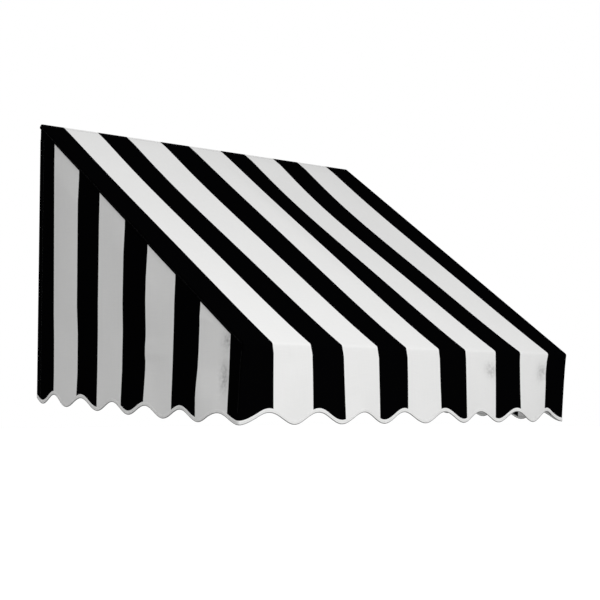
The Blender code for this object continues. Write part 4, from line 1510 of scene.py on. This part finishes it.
def plate_material(name, direction):
    """Plated steel whose rolling lines run along one direction."""
    material, tree, shader = start_material(name, 0.32, metallic=1.0)
    place = add_node(tree, "ShaderNodeTexCoord").outputs["Object"]
    lines = noise(tree, stretched(tree, place, direction), 1.0, 3.0)
    cloud = noise(tree, place, 30.0, 3.0)
    grey = grey_of(tree, spread_noise(tree, lines, 0.56, 0.64))
    tint = blend_colours(tree, rescale(tree, cloud, 0.35, 0.65, 0.0, 1.0), STRAW_TINT, BLUE_TINT)
    tree.links.new(blend_colours(tree, 1.0, grey, tint, "MULTIPLY"), shader.inputs["Base Color"])
    worn = rescale(tree, cloud, 0.4, 0.7, 0.0, 0.10)
    rough = calculate(tree, "ADD", spread_noise(tree, lines, 0.26, 0.38), worn)
    tree.links.new(rough, shader.inputs["Roughness"])
    link_bump(tree, shader, lines, 0.10, 0.0001)
    return material


plated = plate_material("zinc_plate", (60.0, 2400.0, 2400.0))
fastener = plate_material("plated_fastener", (900.0, 900.0, 900.0))
print("Plated finishes:", plated.name, "and", fastener.name)

# %% [markdown]
# ## A small workshop for plate
#
# Brackets are made of plate in four steps: draw the side view, extrude it to its width,
# cut and drill it, and take the sharpness off its edges. The holes are cut with an exact
# Boolean, which is clean on such flat pieces, and a bevel rounds the edges, because a
# sheared edge is never sharp.

# %% Tools for plate
HOLE_SIDES = 32
EDGE_ROUND = 0.0004


def arc(centre, radius, start, end, steps):
    """Points of an arc, from one angle in degrees to another."""
    points = []
    for step in range(steps + 1):
        turn = math.radians(start + (end - start) * step / steps)
        points.append((centre[0] + radius * math.cos(turn), centre[1] + radius * math.sin(turn)))
    return points


def extrude_outline(outline, length):
    """A flat outline in its own XY plane, extruded to both sides of it."""
    clear_selection()
    bpy.ops.mesh.primitive_circle_add(vertices=len(outline), radius=1.0, fill_type="NGON")
    plate = bpy.context.object
    for vertex, (x, y) in zip(plate.data.vertices, outline):
        vertex.co = (x, y, -length / 2)
    bpy.ops.object.mode_set(mode="EDIT")
    bpy.ops.mesh.select_all(action="SELECT")
    bpy.ops.mesh.extrude_region_move(TRANSFORM_OT_translate={"value": (0.0, 0.0, length)})
    bpy.ops.object.mode_set(mode="OBJECT")
    face_outward(plate)
    return plate


def add_block(place, size):
    """A block with its middle at a place."""
    clear_selection()
    bpy.ops.mesh.primitive_cube_add(size=1.0, location=place)
    block = bpy.context.object
    block.scale = size
    return block


def cut_away(piece, cutter):
    """Take a cutter's shape out of a piece and remove the cutter."""
    apply_modifier(piece, "BOOLEAN", operation="DIFFERENCE", solver="EXACT", object=cutter)
    pick(cutter)
    bpy.ops.object.delete()


def drill(piece, place, direction, diameter, depth):
    """A round hole through a place."""
    cut_away(piece, add_cylinder(place, direction, diameter / 2, depth, sides=HOLE_SIDES))


def round_edges(piece):
    """Take the sharpness off every edge."""
    sharp = math.radians(40)
    apply_modifier(
        piece, "BEVEL", width=EDGE_ROUND, segments=2, limit_method="ANGLE", angle_limit=sharp
    )
    smooth_below(35)


print("Edges of plate are rounded by", EDGE_ROUND * 1000, "mm")

# %% [markdown]
# ## Head brackets
#
# The head bar lies in hooks that are screwed to the wall: one wide bracket in the middle
# and a narrow one on each side. All three share one side view, a wall plate that curls
# round the bar from below. The wide one has its middle cut away above the plate, which
# leaves a hook at each end, so the head tee has room between them.

# %% Cut the brackets
PLATE = 0.003
PLATE_HEIGHT = 0.064
HOOK_WIDTH = 0.020
GAP_REACH = 0.08
WALL_HOLE = 0.005
HOLE_HEIGHTS = (0.010, -0.022)


def cradle_outline():
    """Side view of a head bracket as (Y, Z): a wall plate that ends in a hook."""
    centre = (HEAD.y, HEAD.z)
    inner = TUBE_RADIUS + CLEAR
    outer = inner + PLATE
    meet = math.degrees(math.acos((-PLATE - HEAD.y) / outer))
    outline = [(0.0, -PLATE_HEIGHT / 2), (0.0, HEAD.z)]
    outline += arc(centre, inner, 0.0, -180.0, 40)
    outline += arc(centre, outer, -180.0, -meet, 30)
    return outline + [(-PLATE, -PLATE_HEIGHT / 2)]


def cut_bracket(name):
    """A hook bracket, drilled for its wall screws."""
    low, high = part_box(name)
    width, x = high.x - low.x, (low.x + high.x) / 2
    wide = width > 4 * HOOK_WIDTH
    bracket = extrude_outline(cradle_outline(), width)
    bracket.location = (x, 0.0, 0.0)
    bracket.rotation_euler = (math.pi / 2, 0.0, math.pi / 2)
    apply_place(bracket)
    if wide:
        gap_size = (width - 2 * HOOK_WIDTH, GAP_REACH, GAP_REACH)
        cut_away(bracket, add_block((x, -PLATE - GAP_REACH / 2, HEAD.z), gap_size))
    columns_of_holes = (-1, 1) if wide else (0,)
    for height in HOLE_HEIGHTS:
        for number in columns_of_holes:
            place = Vector((x + number * (width - HOOK_WIDTH) / 2, -PLATE / 2, height))
            drill(bracket, place, TO_WALL, WALL_HOLE, 4 * PLATE)
    round_edges(bracket)
    finish_piece(bracket, name + "_plate", plated, "plated_brackets", name)
    print(name, "is", round(width * 1000), "mm wide")


for name in ("left_bracket", "centre_bracket", "right_bracket"):
    cut_bracket(name)

# %% [markdown]
# ## Turned pieces
#
# Screws and rivets are round, so only half of their side view is needed. Spin would turn
# it about an axis, and a grid that is rolled up does the same and closes its seam and
# its poles as its doubles merge. Each is made about the Z axis and then stood in place.

# %% Turn a profile
TURNED_SMOOTH = 35


def turn_profile(name, profile, sides):
    """Turn (radius, height) points round the Z axis; a rolled-up grid does it."""
    def place(i, j):
        radius, height = profile[i]
        turn = math.tau * j / sides
        return Vector((radius * math.cos(turn), radius * math.sin(turn), height))

    turned = lay_sheet(name, len(profile), sides + 1, place, lambda i, j: (i, j))
    face_outward(turned)
    smooth_below(TURNED_SMOOTH)
    return turned


def stand(piece, place, direction):
    """Put a piece that was made round local Z at a place, along a direction."""
    piece.location = place
    piece.rotation_euler = aimed(direction)
    apply_place(piece)
    return piece


print("A turned piece keeps edges above", TURNED_SMOOTH, "degrees sharp")

# %% [markdown]
# ## Pan-head screws
#
# A pan-head screw will join each foot to its upright. The head's dome is a flattened arc,
# and two crossed blocks cut the recess for the driver.

# %% Make a screw
SCREW_SHANK = 0.0042
SCREW_HEAD = 0.0090
SCREW_HEAD_HEIGHT = 0.0022
SCREW_RIM = 0.0003
SCREW_CHAMFER = 0.0002
SCREW_DEPTH = 0.0060
SCREW_SIDES = 32
PAN_POWER = 0.8
SLOT_WIDTH = 0.0009
SLOT_LENGTH = 0.0046
SLOT_DEPTH = 0.0024


def drive_screw(name, place, direction):
    """A pan-head screw with a cross recess."""
    head, shank = SCREW_HEAD / 2, SCREW_SHANK / 2
    profile = []
    for degrees in range(0, 90, 10):
        turn = math.radians(degrees)
        rise = SCREW_HEAD_HEIGHT * math.cos(turn) ** PAN_POWER
        profile.append((head * math.sin(turn), -CLEAR - rise))
    profile += [(head, -CLEAR - SCREW_RIM), (head - SCREW_CHAMFER, -CLEAR), (shank, -CLEAR)]
    profile += [(shank, SCREW_DEPTH - shank), (0.0, SCREW_DEPTH)]
    screw = turn_profile(name, profile, SCREW_SIDES)
    for size in ((SLOT_LENGTH, SLOT_WIDTH, SLOT_DEPTH), (SLOT_WIDTH, SLOT_LENGTH, SLOT_DEPTH)):
        cut_away(screw, add_block((0.0, 0.0, -CLEAR - SCREW_HEAD_HEIGHT), size))
    stand(screw, place, direction)
    smooth_below(TURNED_SMOOTH)
    finish_piece(screw, name + "_pan_head", fastener, "plated_fasteners", name)


print("A screw is", round((SCREW_HEAD_HEIGHT + SCREW_DEPTH) * 1000, 1), "mm long")

# %% [markdown]
# ## Feet
#
# Low on each side an angle of plate holds the upright to the wall. Its outline is drawn
# from above, with one arc outside and one inside the bend, and is extruded upward. The
# two feet are made one by one with a sign, because a mirrored piece would be inside out.

# %% Cut the feet
FOOT_LENGTH = 0.030
FOOT_WALL_LEG = 0.036
FOOT_TUBE_LEG = 0.028
FOOT_BEND = 0.0035
SCREW_PLAY = 0.001
foot_face = side_axis - TUBE_RADIUS - CLEAR


def cut_foot(side, sign):
    """An angle bracket with a rounded bend, drilled for two screws."""
    name = side + "_foot"
    height = middle_of(name).z
    bend = (foot_face - FOOT_BEND, -FOOT_BEND)
    outline = arc(bend, FOOT_BEND, 90.0, 0.0, 8)
    outline += [(foot_face, -FOOT_TUBE_LEG), (foot_face - PLATE, -FOOT_TUBE_LEG)]
    outline += arc(bend, FOOT_BEND - PLATE, 0.0, 90.0, 4)
    outline += [(foot_face - FOOT_WALL_LEG, -PLATE), (foot_face - FOOT_WALL_LEG, 0.0)]
    foot = extrude_outline([(sign * x, y) for x, y in outline], FOOT_LENGTH)
    foot.location = (0.0, 0.0, height)
    apply_place(foot)
    screw_place = Vector((sign * (foot_face - PLATE), HEAD.y, height))
    drill(foot, screw_place, RIGHT, SCREW_SHANK + SCREW_PLAY, 4 * PLATE)
    wall_place = Vector((sign * (foot_face - PLATE - FOOT_WALL_LEG / 2), -PLATE / 2, height))
    drill(foot, wall_place, TO_WALL, WALL_HOLE, 4 * PLATE)
    round_edges(foot)
    finish_piece(foot, name + "_plate", plated, "plated_brackets", name)
    return screw_place


for side, sign in SIDES:
    drive_screw(side + "_foot_screw", cut_foot(side, sign), RIGHT * sign)
print("The feet's screws stand", round(foot_face - PLATE, 4), "m from the middle")

# %% [markdown]
# ## Blind rivets
#
# A blind rivet shows a low dome with a small pit in the middle, where its pin broke off.
# Its profile is a list of radii and heights, measured from the axis of the tube. The
# places come from the same rule as in the CAD model: one rivet in the middle of every
# spigot, set where it faces the wall or the inside.

# %% Set the rivets
RIVET_SIDES = 24
RIVET_HEAD = 0.0065
RIVET_SHANK = 0.0032
RIVET_HEIGHT = 0.0012
RIVET_DEPTH = 0.0050
PIN = 0.0009
rivet_seat = TUBE_RADIUS + CLEAR
rivet_top = rivet_seat + RIVET_HEIGHT
RIVET_PROFILE = [
    (0.0, rivet_seat - RIVET_DEPTH),
    (RIVET_SHANK / 2, rivet_seat - RIVET_DEPTH),
    (RIVET_SHANK / 2, rivet_seat),
    (RIVET_HEAD / 2 - 0.0001, rivet_seat),
    (RIVET_HEAD / 2, rivet_seat + 0.0002),
    (0.40 * RIVET_HEAD, rivet_seat + 0.62 * RIVET_HEIGHT),
    (0.28 * RIVET_HEAD, rivet_seat + 0.90 * RIVET_HEIGHT),
    (PIN + 0.0002, rivet_top),
    (PIN, rivet_top - 0.0002),
    (PIN - 0.0001, rivet_top - 0.0008),
    (0.0, rivet_top - 0.0007),
]


def rivet_places():
    """Place on the tube's axis and outward side of every rivet, in the CAD order."""
    middle = SHOULDER + SPIGOT / 2
    places = []
    for _, sign in SIDES:
        inward = RIGHT * -sign
        head, front, rear = corner_nodes(sign)
        joints = (
            (head, inward, -UP),
            (head, down_slope, inward),
            (head, -UP, inward),
            (front, inward, TO_WALL),
            (front, -down_slope, inward),
            (front, TO_WALL, inward),
            (rear, -TO_WALL, inward),
            (rear, UP, inward),
            (HEAD, -inward, -UP),
            (FRONT, -inward, TO_WALL),
        )
        places += [(node + direction * middle, side) for node, direction, side in joints]
    places.append((HEAD + down_slope * middle, -slope_normal))
    places.append((FRONT - down_slope * middle, -slope_normal))
    return places


for number, (place, side) in enumerate(rivet_places(), 1):
    name = "rivet_%02d" % number
    rivet = stand(turn_profile(name, RIVET_PROFILE, RIVET_SIDES), place, side)
    finish_piece(rivet, "blind_" + name, fastener, "plated_fasteners", name)
print("Rivets set:", number)

# %% [markdown]
# ## Webbing
#
# Webbing is a narrow, thick weave whose ribs lean one way and then the other. Folding the
# place across the strap back and forth, and adding it to the place along the strap, turns
# straight ribs into such a herringbone.

# %% Webbing material
WEBBING_RIBS = 0.0013
HERRINGBONE = 0.003


def webbing_material():
    """Black webbing in a herringbone weave."""
    material, tree, shader = start_material("tie_webbing", 0.85, specular=0.08)
    flat, along, across = cloth_place(tree)
    leaning = calculate(tree, "PINGPONG", across, HERRINGBONE)
    ribs = wave_along(tree, calculate(tree, "ADD", along, leaning), WEBBING_RIBS)
    weave = calculate(tree, "ADD", ribs, noise(tree, flat, 900.0, 3.0))
    shade = rescale(tree, weave, -1.0, 2.0, 0.006, 0.022)
    tree.links.new(grey_of(tree, shade), shader.inputs["Base Color"])
    link_bump(tree, shader, weave, 0.6, 0.00025)
    return material


webbing = webbing_material()
print("The herringbone is", HERRINGBONE * 1000, "mm wide")

# %% [markdown]
# ## Straps
#
# Four black straps tie the cover to the front bar and to the arms. A strap is a sheet too:
# a path in a plane that is widened along the tube. Its two tabs lie on the cloth, and its
# bow goes round the tube, from one tangent to the other.

# %% Tie the straps
TIE_WIDTH = 0.025
TIE_THICKNESS = 0.0012
TIE_TAB = 0.020
TIE_REACH = 0.026
TAB_STEPS = 4
BOW_STEPS = 36
TIE_COLUMNS = 9


def tie_path(first, last):
    """Middle line of a strap whose tabs lie under the cloth at two angles round a tube."""
    middle = TUBE_RADIUS + CLEAR + TIE_THICKNESS / 2
    under = TUBE_RADIUS - TIE_THICKNESS / 2
    spread = math.hypot(TIE_REACH, under)
    swing = math.degrees(math.atan2(TIE_REACH, under) + math.acos(middle / spread))
    tabs = []
    for angle, turn in ((first, -1), (last, 1)):
        normal = Vector((math.cos(math.radians(angle)), math.sin(math.radians(angle))))
        tangent = Vector((-normal.y, normal.x)) * turn
        reaches = [TIE_REACH + TIE_TAB * step / TAB_STEPS for step in range(TAB_STEPS, -1, -1)]
        tabs.append([tuple(normal * under + tangent * reach) for reach in reaches])
    bow = arc((0.0, 0.0), middle, first - swing, last + swing - 360.0, BOW_STEPS)
    return tabs[0] + bow + tabs[1][::-1]


def tie_strap(name, path, centre, across, other):
    """A strap along a path in a plane."""
    along = [0.0]
    for (a, b), (c, d) in zip(path, path[1:]):
        along.append(along[-1] + math.hypot(c - a, d - b))

    def flat(i, j):
        return along[i], TIE_WIDTH * j / (TIE_COLUMNS - 1)

    def place(i, j):
        first, up = path[i]
        return centre + other * first + UP * up + across * TIE_WIDTH * (j / (TIE_COLUMNS - 1) - 0.5)

    strap = lay_sheet(name, len(path), TIE_COLUMNS, place, flat)
    finish_cloth(strap, TIE_THICKNESS)
    finish_piece(strap, name + "_strap", webbing, "tie_webbing", name)


for side, sign in SIDES:
    head, front, rear = corner_nodes(sign)
    front_place = FRONT + RIGHT * sign * side_axis / 2
    tie_strap(side + "_front_tie", tie_path(slope_degrees, 180.0), front_place, RIGHT, TO_WALL)
    path = [(sign * x, z) for x, z in tie_path(0.0, 0.0)]
    tie_strap(side + "_arm_tie", path, rear.lerp(front, 0.5), TO_WALL, RIGHT)

# %% [markdown]
# ## Flat sizes of the cloth
#
# A later user of this model has to know which pieces are cloth. The flat sizes of the cover
# and the tape are printed, and the bars that the cover rests on are listed.

BARS = ("left_head_bar", "right_head_bar", "left_rafter", "right_rafter", "centre_rafter")
BARS += ("left_front_bar", "right_front_bar")
print("Cover flat", round(2 * columns[-1][2], 3), "by", round(rows[-1][4], 3), "m")
print("Tape flat", round(across_tape[-1], 4), "by", round(along_edge[-1], 3), "m")
